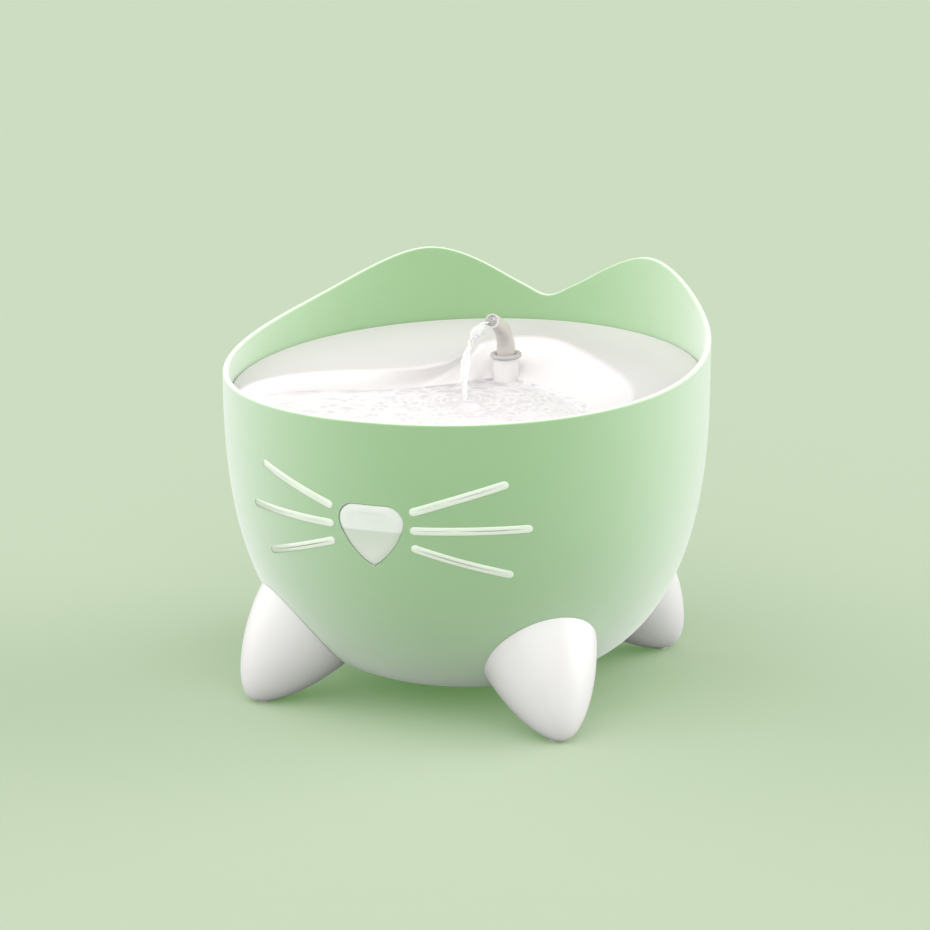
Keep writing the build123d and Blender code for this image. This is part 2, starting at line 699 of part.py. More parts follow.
with BuildPart() as spout:
    with BuildSketch(Plane.XY.offset(SPOUT_STEM_LOW)):
        with Locations((0, SPOUT_DEPTH)):
            Circle(SPOUT_RADIUS)
    extrude(amount=SPOUT_BEND_LOW - SPOUT_STEM_LOW)
    spout_sweep(SPOUT_RADIUS, NOZZLE_RADIUS, Mode.ADD)
    with BuildSketch(Plane.XY.offset(SPOUT_STEM_LOW)):
        with Locations((0, SPOUT_DEPTH)):
            Circle(SPOUT_RADIUS - SPOUT_WALL)
    extrude(amount=SPOUT_BEND_LOW - SPOUT_STEM_LOW, mode=Mode.SUBTRACT)
    spout_sweep(SPOUT_RADIUS - SPOUT_WALL, NOZZLE_RADIUS - NOZZLE_WALL, Mode.SUBTRACT)
write(spout, "spout")

# ---------------------------------------------------------------------------
# Pump
# ---------------------------------------------------------------------------
PUMP_MIDDLE = PUMP_BACK - PUMP_LENGTH / 2
PUMP_FRONT = PUMP_BACK - PUMP_LENGTH
CHAMBER_BACK = PUMP_BACK + PLATE_THICKNESS
COVER_BACK = CHAMBER_BACK + CHAMBER_DEPTH
COVER_END = COVER_BACK + COVER_WALL
OUTLET_DEPTH = CHAMBER_BACK + CHAMBER_DEPTH / 2
CORE_LOW = PUMP_BOTTOM + CORE_FLOOR
CORE_HIGH = ROTOR_HEIGHT + MAGNET_RADIUS
CORE_OUTER = CAN_RADIUS + CAN_WALL + CORE_THICKNESS
CORE_FRONT = PUMP_MIDDLE - CORE_LENGTH / 2
CAN_END = PUMP_BACK - CAN_DEPTH
MAGNET_BACK = PUMP_BACK - MAGNET_SETBACK
IMPELLER_FRONT = CHAMBER_BACK + RUN_GAP
SHAFT_FRONT = CAN_END - BUSH_LENGTH + RUN_GAP
NIPPLE_RADIUS = RISER_RADIUS - RISER_WALL - NIPPLE_GAP


def disc(depth, radius, length, mode=Mode.ADD):
    """Round slab on the rotor's axis, from depth towards the back."""
    with BuildSketch(Plane.XZ.offset(-depth)) as slab:
        with Locations((0, ROTOR_HEIGHT)):
            Circle(radius)
    extrude(slab.sketch, amount=-length, mode=mode)


def core_block(gap, mode):
    """U-shaped stack of plates that straddles the rotor's can."""
    with BuildSketch(Plane.XZ.offset(-(CORE_FRONT - gap))) as stack:
        with Locations((0, CORE_LOW - gap)):
            Rectangle(
                2 * (CORE_OUTER + gap),
                CORE_HIGH - CORE_LOW + 2 * gap,
                align=(Align.CENTER, Align.MIN),
            )
        with Locations((0, CORE_LOW + CORE_THICKNESS + gap)):
            Rectangle(
                2 * (CORE_OUTER - CORE_THICKNESS - gap),
                CORE_HIGH,
                align=(Align.CENTER, Align.MIN),
                mode=Mode.SUBTRACT,
            )
    extrude(stack.sketch, amount=-(CORE_LENGTH + 2 * gap), mode=mode)


def coil_block(gap, mode):
    """Winding round the bottom bar of the core."""
    with BuildSketch(Plane.YZ.offset(-(COIL_WIDTH / 2 + gap))) as winding:
        with Locations((PUMP_MIDDLE, CORE_LOW + CORE_THICKNESS / 2)):
            Rectangle(
                CORE_LENGTH + COIL_BUILD + 2 * gap,
                CORE_THICKNESS + COIL_BUILD + 2 * gap,
            )
            if not gap:
                Rectangle(
                    CORE_LENGTH + 2 * POTTING_GAP,
                    CORE_THICKNESS + 2 * POTTING_GAP,
                    mode=Mode.SUBTRACT,
                )
    extrude(winding.sketch, amount=COIL_WIDTH + 2 * gap, mode=mode)


with BuildPart() as pump_housing:
    with BuildSketch(Plane.XZ.offset(-PUMP_FRONT)):
        with Locations((0, PUMP_BOTTOM + PUMP_HEIGHT / 2)):
            RectangleRounded(PUMP_WIDTH, PUMP_HEIGHT, PUMP_ROUND)
    extrude(amount=-PUMP_LENGTH)
    fillet(pump_housing.faces().sort_by(Axis.Y)[0].edges(), PUMP_ROUND / 2)
    disc(CAN_END, CAN_RADIUS, CAN_DEPTH, Mode.SUBTRACT)
    disc(CAN_END - BUSH_LENGTH, BUSH_RADIUS, BUSH_LENGTH, Mode.SUBTRACT)
    core_block(POTTING_GAP, Mode.SUBTRACT)
    coil_block(POTTING_GAP, Mode.SUBTRACT)
    with BuildSketch(Plane.XY.offset(PUMP_BOTTOM)):
        with Locations((0, PUMP_MIDDLE)):
            with GridLocations(2 * CUP_SPREAD, 2 * CUP_SPREAD, 2, 2):
                Circle(CUP_NECK_RADIUS)
    extrude(amount=CUP_STEM, mode=Mode.SUBTRACT)
write(pump_housing, "pump_housing")

with BuildPart() as stator_core:
    core_block(0, Mode.ADD)
write(stator_core, "stator_core")

with BuildPart() as stator_coil:
    coil_block(0, Mode.ADD)
write(stator_coil, "stator_coil")

with BuildPart() as suction_cups:
    with BuildSketch(Plane.XY.offset(BOX_FLOOR)):
        with Locations((0, PUMP_MIDDLE)):
            with GridLocations(2 * CUP_SPREAD, 2 * CUP_SPREAD, 2, 2):
                Circle(CUP_RADIUS)
    extrude(amount=CUP_SKIRT, taper=CUP_TAPER)
    with BuildSketch(Plane.XY.offset(BOX_FLOOR)):
        with Locations((0, PUMP_MIDDLE)):
            with GridLocations(2 * CUP_SPREAD, 2 * CUP_SPREAD, 2, 2):
                Circle(CUP_NECK_RADIUS)
    extrude(amount=PUMP_BOTTOM + CUP_STEM - BOX_FLOOR)
write(suction_cups, "suction_cups")

with BuildPart() as rear_bush:
    disc(CAN_END - BUSH_LENGTH, BUSH_RADIUS, BUSH_LENGTH)
    disc(CAN_END - BUSH_LENGTH, SHAFT_RADIUS + SHAFT_GAP, BUSH_LENGTH, Mode.SUBTRACT)
write(rear_bush, "rear_bush")

with BuildPart() as volute_plate:
    disc(PUMP_BACK, COVER_RADIUS, PLATE_THICKNESS)
    disc(PUMP_BACK, PLATE_BORE_RADIUS, PLATE_THICKNESS, Mode.SUBTRACT)
write(volute_plate, "volute_plate")

with BuildPart() as pump_cover:
    disc(CHAMBER_BACK, COVER_RADIUS, CHAMBER_DEPTH + COVER_WALL)
    with BuildSketch(Plane.XY.offset(ROTOR_HEIGHT)):
        with Locations((0, OUTLET_DEPTH)):
            Circle(NIPPLE_RADIUS)
    extrude(amount=NIPPLE_TOP - ROTOR_HEIGHT)
    disc(CHAMBER_BACK, CHAMBER_RADIUS, CHAMBER_DEPTH, Mode.SUBTRACT)
    with BuildSketch(Plane.XY.offset(ROTOR_HEIGHT)):
        with Locations((0, OUTLET_DEPTH)):
            Circle(NIPPLE_RADIUS - NIPPLE_WALL)
    extrude(amount=NIPPLE_TOP - ROTOR_HEIGHT, mode=Mode.SUBTRACT)
    with BuildSketch(Plane.XZ.offset(-COVER_BACK)):
        with Locations((0, ROTOR_HEIGHT)):
            with PolarLocations(INTAKE_RADIUS, INTAKE_HOLES):
                Circle(INTAKE_HOLE_RADIUS)
    extrude(amount=-COVER_WALL, mode=Mode.SUBTRACT)
    disc(COVER_BACK - BUSH_LENGTH, BUSH_RADIUS + BUSH_SEAT_WALL, BUSH_LENGTH)
    disc(COVER_BACK - BUSH_LENGTH, BUSH_RADIUS, BUSH_LENGTH, Mode.SUBTRACT)
    disc(COVER_END, KNOB_PIN_RADIUS, RUN_GAP + KNOB_THICKNESS)
write(pump_cover, "pump_cover")

with BuildPart() as front_bush:
    disc(COVER_BACK - BUSH_LENGTH, BUSH_RADIUS, BUSH_LENGTH)
    disc(COVER_BACK - BUSH_LENGTH, SHAFT_RADIUS + SHAFT_GAP, BUSH_LENGTH, Mode.SUBTRACT)
write(front_bush, "front_bush")

with BuildPart() as rotor_shaft:
    disc(SHAFT_FRONT, SHAFT_RADIUS, COVER_BACK - RUN_GAP - SHAFT_FRONT)
write(rotor_shaft, "rotor_shaft")

with BuildPart() as rotor_magnet:
    disc(MAGNET_BACK - MAGNET_LENGTH, MAGNET_RADIUS, MAGNET_LENGTH)
    disc(MAGNET_BACK - MAGNET_LENGTH, SHAFT_RADIUS, MAGNET_LENGTH, Mode.SUBTRACT)
write(rotor_magnet, "rotor_magnet")

with BuildSketch() as blade:
    with BuildLine():
        blade_line = Spline(
            (SHAFT_RADIUS, 0),
            (IMPELLER_RADIUS / 2, BLADE_THICKNESS),
            (IMPELLER_RADIUS - BLADE_THICKNESS, BLADE_SWEEP),
        )
    trace(blade_line, BLADE_THICKNESS)

with BuildPart() as impeller:
    disc(MAGNET_BACK, HUB_RADIUS, IMPELLER_FRONT - MAGNET_BACK)
    disc(IMPELLER_FRONT, IMPELLER_RADIUS, IMPELLER_DISC)
    with BuildSketch(Plane.XZ.offset(-(IMPELLER_FRONT + IMPELLER_DISC))):
        with Locations((0, ROTOR_HEIGHT)):
            with PolarLocations(0, BLADES):
                add(blade.sketch)
    extrude(amount=-BLADE_HEIGHT)
    disc(MAGNET_BACK, SHAFT_RADIUS, CAN_DEPTH, Mode.SUBTRACT)
write(impeller, "impeller")

with BuildPart() as flow_knob:
    disc(COVER_END + RUN_GAP, KNOB_RADIUS, KNOB_THICKNESS)
    with BuildSketch(Plane.XZ.offset(-(COVER_END + RUN_GAP))):
        with Locations((0, ROTOR_HEIGHT)):
            with PolarLocations(INTAKE_RADIUS, INTAKE_HOLES):
                Circle(INTAKE_HOLE_RADIUS)
            Circle(KNOB_PIN_RADIUS + SHAFT_GAP)
    extrude(amount=-KNOB_THICKNESS, mode=Mode.SUBTRACT)
    with BuildSketch(Plane.XZ.offset(-(COVER_END + RUN_GAP))):
        with Locations((KNOB_RADIUS + KNOB_TAB_LENGTH / 2 - RUN_GAP, ROTOR_HEIGHT)):
            Rectangle(KNOB_TAB_LENGTH, KNOB_TAB_WIDTH)
    extrude(amount=-KNOB_THICKNESS)
write(flow_knob, "flow_knob")

# ---------------------------------------------------------------------------
# Riser tube
# ---------------------------------------------------------------------------
RISER_LOW = ROTOR_HEIGHT + COVER_RADIUS + RUN_GAP

with BuildLine(Plane.YZ) as riser_path:
    Line((OUTLET_DEPTH, RISER_LOW), (OUTLET_DEPTH, RISER_STRAIGHT))
    Spline(
        (OUTLET_DEPTH, RISER_STRAIGHT),
        (SPOUT_DEPTH, RISER_UPPER),
        tangents=[(0, 1), (0, 1)],
    )
    Line((SPOUT_DEPTH, RISER_UPPER), (SPOUT_DEPTH, RISER_TOP))

with BuildPart() as riser_tube:
    with BuildSketch(Plane.XY.offset(RISER_LOW)):
        with Locations((0, OUTLET_DEPTH)):
            Circle(RISER_RADIUS)
            Circle(RISER_RADIUS - RISER_WALL, mode=Mode.SUBTRACT)
    sweep(path=riser_path.line)
write(riser_tube, "riser_tube")

# ---------------------------------------------------------------------------
# Filter box and its cartridge
# ---------------------------------------------------------------------------
BOX_INNER = BOX_RADIUS - BOX_WALL
FILTER_RADIUS = BOX_INNER - FILTER_GAP
FILTER_LOW = BOX_LEDGE_HEIGHT
MEDIA_LOW = FILTER_LOW + FILTER_FLOOR + LAYER_GAP
FOAM_LOW = MEDIA_LOW + MEDIA_HEIGHT + LAYER_GAP
LID_LOW = FILTER_LOW + FILTER_HEIGHT + LAYER_GAP
RISER_HOLE = RISER_RADIUS + RISER_HOLE_GAP


def box_disc(low, radius, height, mode=Mode.ADD, hole=0.0):
    """Upright round slab on the filter box's axis, with a hole round the riser."""
    with BuildSketch(Plane.XY.offset(low)) as slab:
        with Locations((0, BOX_DEPTH)):
            Circle(radius)
        if hole:
            with Locations((0, OUTLET_DEPTH)):
                Circle(hole, mode=Mode.SUBTRACT)
    extrude(slab.sketch, amount=height, mode=mode)


def filter_ribs(low, height):
    """Row of straight bars across the cartridge, trimmed to its round wall."""
    with BuildSketch(Plane.XY.offset(low)) as ribs:
        with Locations((0, BOX_DEPTH)):
            with GridLocations(FILTER_RIB_STEP, 0, FILTER_RIBS, 1):
                Rectangle(FILTER_RIB_WIDTH, 2 * BOX_RADIUS)
            Rectangle(2 * BOX_RADIUS, FILTER_RIB_WIDTH)
            Circle(FILTER_RADIUS - FILTER_WALL / 2, mode=Mode.INTERSECT)
        with Locations((0, OUTLET_DEPTH)):
            Circle(RISER_HOLE + FILTER_WALL)
            Circle(RISER_HOLE, mode=Mode.SUBTRACT)
    extrude(ribs.sketch, amount=height)


with BuildPart() as bowl_inside:
    revolve(bowl_section(BOWL_WALL + BOX_LEG_GAP), axis=Axis.Z)

with BuildPart() as filter_box:
    box_disc(BOX_FLOOR - BOX_WALL, BOX_RADIUS, BOX_TOP - BOX_FLOOR + BOX_WALL)
    fillet(filter_box.faces().sort_by(Axis.Z)[0].edges(), BOX_BOTTOM_ROUND)
    box_disc(BOX_FLOOR, BOX_INNER, BOX_TOP - BOX_FLOOR, Mode.SUBTRACT)
    with BuildSketch(Plane.XY.offset(BOX_LEDGE_HEIGHT - BOX_LEDGE_THICKNESS)):
        with Locations((0, BOX_DEPTH)):
            Circle(BOX_INNER + BOX_WALL / 2)
            Circle(BOX_INNER - BOX_LEDGE_WIDTH, mode=Mode.SUBTRACT)
    extrude(amount=BOX_LEDGE_THICKNESS)
    with BuildSketch(Plane.XY.offset(UNDERSIDE_HEIGHT)):
        with Locations((0, BOX_DEPTH)):
            with PolarLocations(BOX_LEG_DISTANCE, BOX_LEGS, start_angle=-90):
                Circle(BOX_LEG_RADIUS)
    extrude(amount=BOX_FLOOR - BOX_WALL / 2 - UNDERSIDE_HEIGHT)
    add(bowl_inside.part, mode=Mode.INTERSECT)
    with BuildSketch(Plane.XY.offset(BOX_WINDOW_LOW)):
        with Locations((0, BOX_DEPTH)):
            with PolarLocations(BOX_RADIUS, BOX_WINDOWS):
                Rectangle(BOX_WINDOW_REACH, BOX_WINDOW_WIDTH)
    extrude(amount=BOX_WINDOW_HIGH - BOX_WINDOW_LOW, mode=Mode.SUBTRACT)
write(filter_box, "filter_box")

with BuildPart() as filter_frame:
    box_disc(FILTER_LOW, FILTER_RADIUS, FILTER_HEIGHT)
    box_disc(FILTER_LOW, FILTER_RADIUS - FILTER_WALL, FILTER_HEIGHT, Mode.SUBTRACT)
    filter_ribs(FILTER_LOW, FILTER_FLOOR)
write(filter_frame, "filter_frame")

with BuildPart() as filter_media:
    box_disc(MEDIA_LOW, FILTER_RADIUS - FILTER_WALL - LAYER_GAP, MEDIA_HEIGHT, hole=RISER_HOLE)
write(filter_media, "filter_media")

with BuildPart() as filter_foam:
    box_disc(FOAM_LOW, FILTER_RADIUS - FILTER_WALL - LAYER_GAP, FOAM_HEIGHT, hole=RISER_HOLE)
write(filter_foam, "filter_foam")

with BuildPart() as filter_lid:
    box_disc(LID_LOW, FILTER_RADIUS, LID_THICKNESS)
    box_disc(LID_LOW, FILTER_RADIUS - FILTER_WALL, LID_THICKNESS, Mode.SUBTRACT)
    filter_ribs(LID_LOW, LID_THICKNESS)
    with BuildSketch(Plane.XY.offset(LID_LOW)):
        with Locations((0, BOX_DEPTH)):
            Rectangle(LID_GRIP_LENGTH, LID_GRIP_WIDTH)
    extrude(amount=LID_THICKNESS + LID_GRIP_HEIGHT)
write(filter_lid, "filter_lid")
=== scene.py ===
import logging
from dataclasses import dataclass, field
from enum import Enum
from math import cos, exp, hypot, pi, radians, sin, sqrt, tan
from typing import Sequence

import bmesh
import bpy
import numpy as np
from bpy.types import Material, Node, NodeSocket, NodeTree, Object
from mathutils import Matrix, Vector, noise


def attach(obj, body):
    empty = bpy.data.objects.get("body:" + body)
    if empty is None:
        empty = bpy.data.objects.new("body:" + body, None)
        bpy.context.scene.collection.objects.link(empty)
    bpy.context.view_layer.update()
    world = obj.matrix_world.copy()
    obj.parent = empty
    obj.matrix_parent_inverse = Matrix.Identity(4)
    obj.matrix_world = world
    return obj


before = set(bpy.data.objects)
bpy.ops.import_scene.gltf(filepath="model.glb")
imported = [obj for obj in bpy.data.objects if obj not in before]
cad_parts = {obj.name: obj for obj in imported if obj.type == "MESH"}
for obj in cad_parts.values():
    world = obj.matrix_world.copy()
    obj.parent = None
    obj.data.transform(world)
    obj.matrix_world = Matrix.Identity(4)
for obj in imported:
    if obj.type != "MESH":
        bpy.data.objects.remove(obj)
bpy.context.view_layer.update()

MM = 0.001  # metres in a millimetre
WATERLINE = 0.107  # height of the water in the bowl, which shows through the nose

Colour = tuple[float, float, float]
Point2 = tuple[float, float]

log = logging.getLogger("fountain")


class Body(str, Enum):
    """The bodies of the fountain that new pieces ride on."""

    BASE = "base"
    TOP = "top"
    SPOUT = "spout"


# --- Curves and meshes ---
def smooth_curve(points: Sequence[Sequence[float]], count: int, closed: bool) -> np.ndarray:
    """Sample a cubic curve that runs smoothly through the points.

    Args:
        points: The points to pass through, in two or three coordinates.
        count: How many samples to take.
        closed: Whether the curve runs on from the last point to the first.

    Returns:
        One row per sample, evenly spaced in the curve's own parameter.
    """
    knots = np.array(points, float)
    if closed:
        knots = np.vstack([knots, knots[:1]])
    steps = np.linalg.norm(np.diff(knots, axis=0), axis=1)
    where = np.concatenate([[0.0], np.cumsum(steps)])
    size = len(knots)
    system, right = np.zeros((size, size)), np.zeros_like(knots)
    slopes = np.diff(knots, axis=0) / steps[:, None]
    for i in range(1, size - 1):
        system[i, i - 1 : i + 2] = steps[i - 1], 2 * (steps[i - 1] + steps[i]), steps[i]
        right[i] = 6 * (slopes[i] - slopes[i - 1])
    if closed:
        system[0, 0], system[0, -1] = 1, -1
        system[-1, 0], system[-1, 1] = 2 * steps[0], steps[0]
        system[-1, -2], system[-1, -1] = steps[-1], 2 * steps[-1]
        right[-1] = 6 * (slopes[0] - slopes[-1])
    else:
        system[0, 0] = system[-1, -1] = 1
    bends = np.linalg.solve(system, right)
    samples = np.linspace(0, where[-1], count, endpoint=not closed)
    spans = np.clip(np.searchsorted(where, samples, side="right") - 1, 0, size - 2)
    step = steps[spans][:, None]
    ahead = (where[spans + 1] - samples)[:, None] / step
    behind = 1 - ahead
    return (
        ahead * knots[spans]
        + behind * knots[spans + 1]
        + ((ahead**3 - ahead) * bends[spans] + (behind**3 - behind) * bends[spans + 1])
        * step**2
        / 6
    )


def ringed_mesh(name: str, rings: Sequence[Sequence[Vector]]) -> Object:
    """Skin a row of closed rings and close both ends, for a shape with no hole.

    Args:
        name: Name of the piece.
        rings: Rings of points, all of one length. A ring of one point is a tip.

    Returns:
        The new piece, smooth shaded, with its faces turned outward.
    """
    mesh = bmesh.new()
    rows = [[mesh.verts.new(p) for p in ring] for ring in rings]
    for low, high in zip(rows, rows[1:]):
        count = max(len(low), len(high))
        for i in range(count):
            after = (i + 1) % count
            corners = [low[i % len(low)], low[after % len(low)]]
            corners += [high[after % len(high)], high[i % len(high)]]
            mesh.faces.new(list(dict.fromkeys(corners)))
    for end in (rows[0], rows[-1]):
        if len(end) > 2:
            mesh.faces.new(end)
    bmesh.ops.recalc_face_normals(mesh, faces=mesh.faces)
    return finished(name, mesh)


def finished(name: str, mesh: bmesh.types.BMesh) -> Object:
    """Turn a bmesh into a smooth-shaded object of the scene.

    Args:
        name: Name of the object.
        mesh: The bmesh, which is freed.

    Returns:
        The object.
    """
    data = bpy.data.meshes.new(name)
    mesh.to_mesh(data)
    mesh.free()
    data.shade_smooth()
    piece = bpy.data.objects.new(name, data)
    bpy.context.scene.collection.objects.link(piece)
    return piece


def place(piece: Object, body: Body, finish: Material) -> None:
    """Give a new piece its finish and material slot, and let it ride on a body.

    Args:
        piece: The piece.
        body: The body to ride on.
        finish: The visible material.
    """
    piece.data.materials.append(finish)
    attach(piece, body.value)
    log.info("%s: %d faces, rides on %s", piece.name, len(piece.data.polygons), body.value)


# --- Shader groups that several finishes share ---
class Socket(str, Enum):
    """Kinds of socket on a shader group."""

    NUMBER = "NodeSocketFloat"
    COLOUR = "NodeSocketColor"
    VECTOR = "NodeSocketVector"


@dataclass
class Board:
    """Nodes of one material or shader group, and the wires between them."""

    tree: NodeTree

    def add(self, kind: str, **settings: object) -> Node:
        """Add a node.

        Args:
            kind: Blender's name of the node, without its ShaderNode.
            settings: Properties of the node.

        Returns:
            The new node.
        """
        node = self.tree.nodes.new("ShaderNode" + kind)
        for name, value in settings.items():
            setattr(node, name, value)
        return node

    def wire(self, start: NodeSocket, end: NodeSocket) -> None:
        """Join an output to an input."""
        self.tree.links.new(start, end)

    def fill(self, node: Node, values: dict[str, object]) -> Node:
        """Set or wire inputs of a node.

        Args:
            node: The node.
            values: A number, a vector, a colour or an output for each input, by its name.

        Returns:
            The same node.
        """
        for name, value in values.items():
            socket = node.inputs[name]
            if isinstance(value, NodeSocket):
                self.wire(value, socket)
            else:
                socket.default_value = (*value, 1.0) if socket.type == "RGBA" else value
        return node

    def part(self, vector: NodeSocket, axis: str) -> NodeSocket:
        """Take the X, Y or Z part of a vector."""
        return self.fill(self.add("SeparateXYZ"), {"Vector": vector}).outputs[axis]

    def noise(self, where: NodeSocket, scale: object, detail: float) -> NodeSocket:
        """Add a noise texture.

        Args:
            where: Where to take it.
            scale: Its scale, a number or an output.
            detail: How many finer layers it has.

        Returns:
            The noise, around 0.5.
        """
        values = {"Vector": where, "Scale": scale, "Detail": detail}
        return self.fill(self.add("TexNoise"), values).outputs["Fac"]

    def spread(
        self, value: NodeSocket, low: float, high: float, out_low: float, out_high: float,
        easing: str = "LINEAR"
    ) -> NodeSocket:
        """Map a value's span onto another span, clamped at both ends.

        Args:
            value: The value.
            low: Start of its span.
            high: End of its span.
            out_low: What the start becomes.
            out_high: What the end becomes.
            easing: How it runs between them, as the Map Range node names it.

        Returns:
            The mapped value.
        """
        values = {"Value": value, "From Min": low, "From Max": high, "To Min": out_low, "To Max": out_high}
        return self.fill(self.add("MapRange", interpolation_type=easing), values).outputs["Result"]

    def sum(self, kind: str, first: object, second: object) -> NodeSocket:
        """Work out a sum of two numbers or outputs.

        Args:
            kind: The operation, as the Math node names it.
            first: A number or an output.
            second: A number or an output.

        Returns:
            The output with the result.
        """
        node = self.add("Math", operation=kind)
        for socket, value in zip(node.inputs, (first, second)):
            if isinstance(value, (int, float)):
                socket.default_value = value
            else:
                self.wire(value, socket)
        return node.outputs[0]

    def mix(self, share: object, first: object, second: object) -> NodeSocket:
        """Mix two colours.

        Args:
            share: Share of the second, from 0 to 1, or an output.
            first: A colour or an output.
            second: A colour or an output.

        Returns:
            The mixed colour.
        """
        node = self.add("Mix", data_type="RGBA")
        for socket, value in ((node.inputs[0], share), (node.inputs[6], first), (node.inputs[7], second)):
            if isinstance(value, NodeSocket):
                self.wire(value, socket)
            else:
                socket.default_value = value if isinstance(value, float) else (*value, 1.0)
        return node.outputs[2]


def new_group(
    name: str, inputs: Sequence[tuple[str, Socket]], outputs: Sequence[tuple[str, Socket]]
) -> tuple[Board, Node, Node]:
    """Make an empty shader group with named sockets.

    Args:
        name: Name of the group.
        inputs: Name and kind of each input.
        outputs: Name and kind of each output.

    Returns:
        The group's board, its input node and its output node.
    """
    tree = bpy.data.node_groups.new(name, "ShaderNodeTree")
    for direction, sockets in (("INPUT", inputs), ("OUTPUT", outputs)):
        for label, kind in sockets:
            tree.interface.new_socket(label, in_out=direction, socket_type=kind.value)
    board = Board(tree)
    start, end = tree.nodes.new("NodeGroupInput"), tree.nodes.new("NodeGroupOutput")
    return board, start, end


def moulded_group() -> NodeTree:
    """Skin of a moulded piece: soft clouds of tone, fine grain, uneven gloss.

    Returns:
        The group.
    """
    board, start, end = new_group(
        "moulded_skin",
        (
            ("Colour", Socket.COLOUR),
            ("Shade", Socket.COLOUR),
            ("Cloud Scale", Socket.NUMBER),
            ("Grain Scale", Socket.NUMBER),
            ("Grain Depth", Socket.NUMBER),
            ("Roughness", Socket.NUMBER),
            ("Roughness Spread", Socket.NUMBER),
        ),
        (("Colour", Socket.COLOUR), ("Roughness", Socket.NUMBER), ("Height", Socket.NUMBER)),
    )
    where = board.add("TexCoord").outputs["Object"]
    clouds = board.noise(where, start.outputs["Cloud Scale"], 3.0)
    grain = board.noise(where, start.outputs["Grain Scale"], 2.0)
    tone = board.spread(clouds, 0.35, 0.68, 0.0, 1.0)
    uneven, fine = board.sum("SUBTRACT", clouds, 0.5), board.sum("SUBTRACT", grain, 0.5)
    change = board.sum("MULTIPLY", board.sum("ADD", uneven, fine), start.outputs["Roughness Spread"])
    results = {
        "Colour": board.mix(tone, start.outputs["Colour"], start.outputs["Shade"]),
        "Roughness": board.sum("ADD", start.outputs["Roughness"], change),
        "Height": board.sum("MULTIPLY", fine, start.outputs["Grain Depth"]),
    }
    board.fill(end, results)
    return board.tree


def lined_group() -> NodeTree:
    """Fine parallel lines, as of brushed metal, stacked plates or wound wire.

    Returns:
        The group.
    """
    board, start, end = new_group(
        "fine_lines",
        (("Along", Socket.VECTOR), ("Wander", Socket.NUMBER)),
        (("Mask", Socket.NUMBER), ("Height", Socket.NUMBER)),
    )
    where = board.add("TexCoord").outputs["Object"]
    stretch = board.add("VectorMath", operation="MULTIPLY")
    board.wire(where, stretch.inputs[0])
    board.wire(start.outputs["Along"], stretch.inputs[1])
    lines = board.noise(stretch.outputs[0], 1.0, 2.0)
    board.wire(start.outputs["Wander"], lines.node.inputs["Distortion"])
    board.fill(end, {"Mask": board.spread(lines, 0.38, 0.62, 0.0, 1.0), "Height": lines})
    return board.tree


def cells_group() -> NodeTree:
    """Small packed cells, as of foam pores or carbon grains.

    Returns:
        The group.
    """
    board, start, end = new_group(
        "packed_cells",
        (("Cell Scale", Socket.NUMBER),),
        (("Mask", Socket.NUMBER), ("Height", Socket.NUMBER)),
    )
    where = board.add("TexCoord").outputs["Object"]
    cells = board.add("TexVoronoi", feature="F1")
    board.fill(cells, {"Vector": where, "Scale": start.outputs["Cell Scale"]})
    away = cells.outputs["Distance"]
    board.fill(end, {"Mask": board.spread(away, 0.1, 0.6, 0.0, 1.0), "Height": away})
    return board.tree


@dataclass(frozen=True)
class Groups:
    """The shader groups, built once."""

    moulded: NodeTree
    lined: NodeTree
    cells: NodeTree


# --- Finishes ---
def new_material(name: str) -> tuple[Material, Board, Node]:
    """Make a material with a bare Principled shader.

    Args:
        name: Name of the material.

    Returns:
        The material, its board and its Principled node.
    """
    material = bpy.data.materials.new(name)
    material.use_nodes = True
    material.node_tree.nodes.clear()
    board = Board(material.node_tree)
    shader, output = board.add("BsdfPrincipled"), board.add("OutputMaterial")
    board.wire(shader.outputs["BSDF"], output.inputs["Surface"])
    return material, board, shader


def bump(board: Board, shader: Node, height: NodeSocket, depth: float) -> None:
    """Feed a height to the shader's normal.

    Args:
        board: Board of the material.
        shader: Its Principled node.
        height: The height, about 1 from low to high.
        depth: What 1 stands for, in metres.
    """
    node = board.add("Bump")
    board.fill(node, {"Strength": 1.0, "Distance": depth, "Height": height})
    board.wire(node.outputs["Normal"], shader.inputs["Normal"])


@dataclass(frozen=True)
class Skin:
    """Scale and depth of a moulded skin.

    Attributes:
        clouds: Clouds of tone per metre.
        grains: Grains per metre.
        depth: Depth of the grain in metres.
        wander: How far the roughness wanders.
    """

    clouds: float = 22.0
    grains: float = 2600.0
    depth: float = 0.00003
    wander: float = 0.08

    def build(self, board: Board, shader: Node, group: NodeTree, looks: dict[str, object]) -> NodeSocket:
        """Give a shader the roughness and the grain of the skin.

        Args:
            board: Board of the material.
            shader: Its Principled node.
            group: The shader group of moulded skins.
            looks: Its Colour, Shade and mean Roughness, each of which may be an output.

        Returns:
            The clouded colour, for the material to use.
        """
        node = board.fill(board.add("Group", node_tree=group), looks)
        board.fill(node, {"Cloud Scale": self.clouds, "Grain Scale": self.grains, "Grain Depth": 1.0})
        board.fill(node, {"Roughness Spread": self.wander})
        board.wire(node.outputs["Roughness"], shader.inputs["Roughness"])
        bump(board, shader, node.outputs["Height"], self.depth)
        return node.outputs["Colour"]


@dataclass(frozen=True)
class Finish:
    """What each finish states first.

    Attributes:
        name: Name of the material.
        colour: Main colour.
        shade: Second colour, of its clouds, lines or pores.
    """

    name: str
    colour: Colour
    shade: Colour


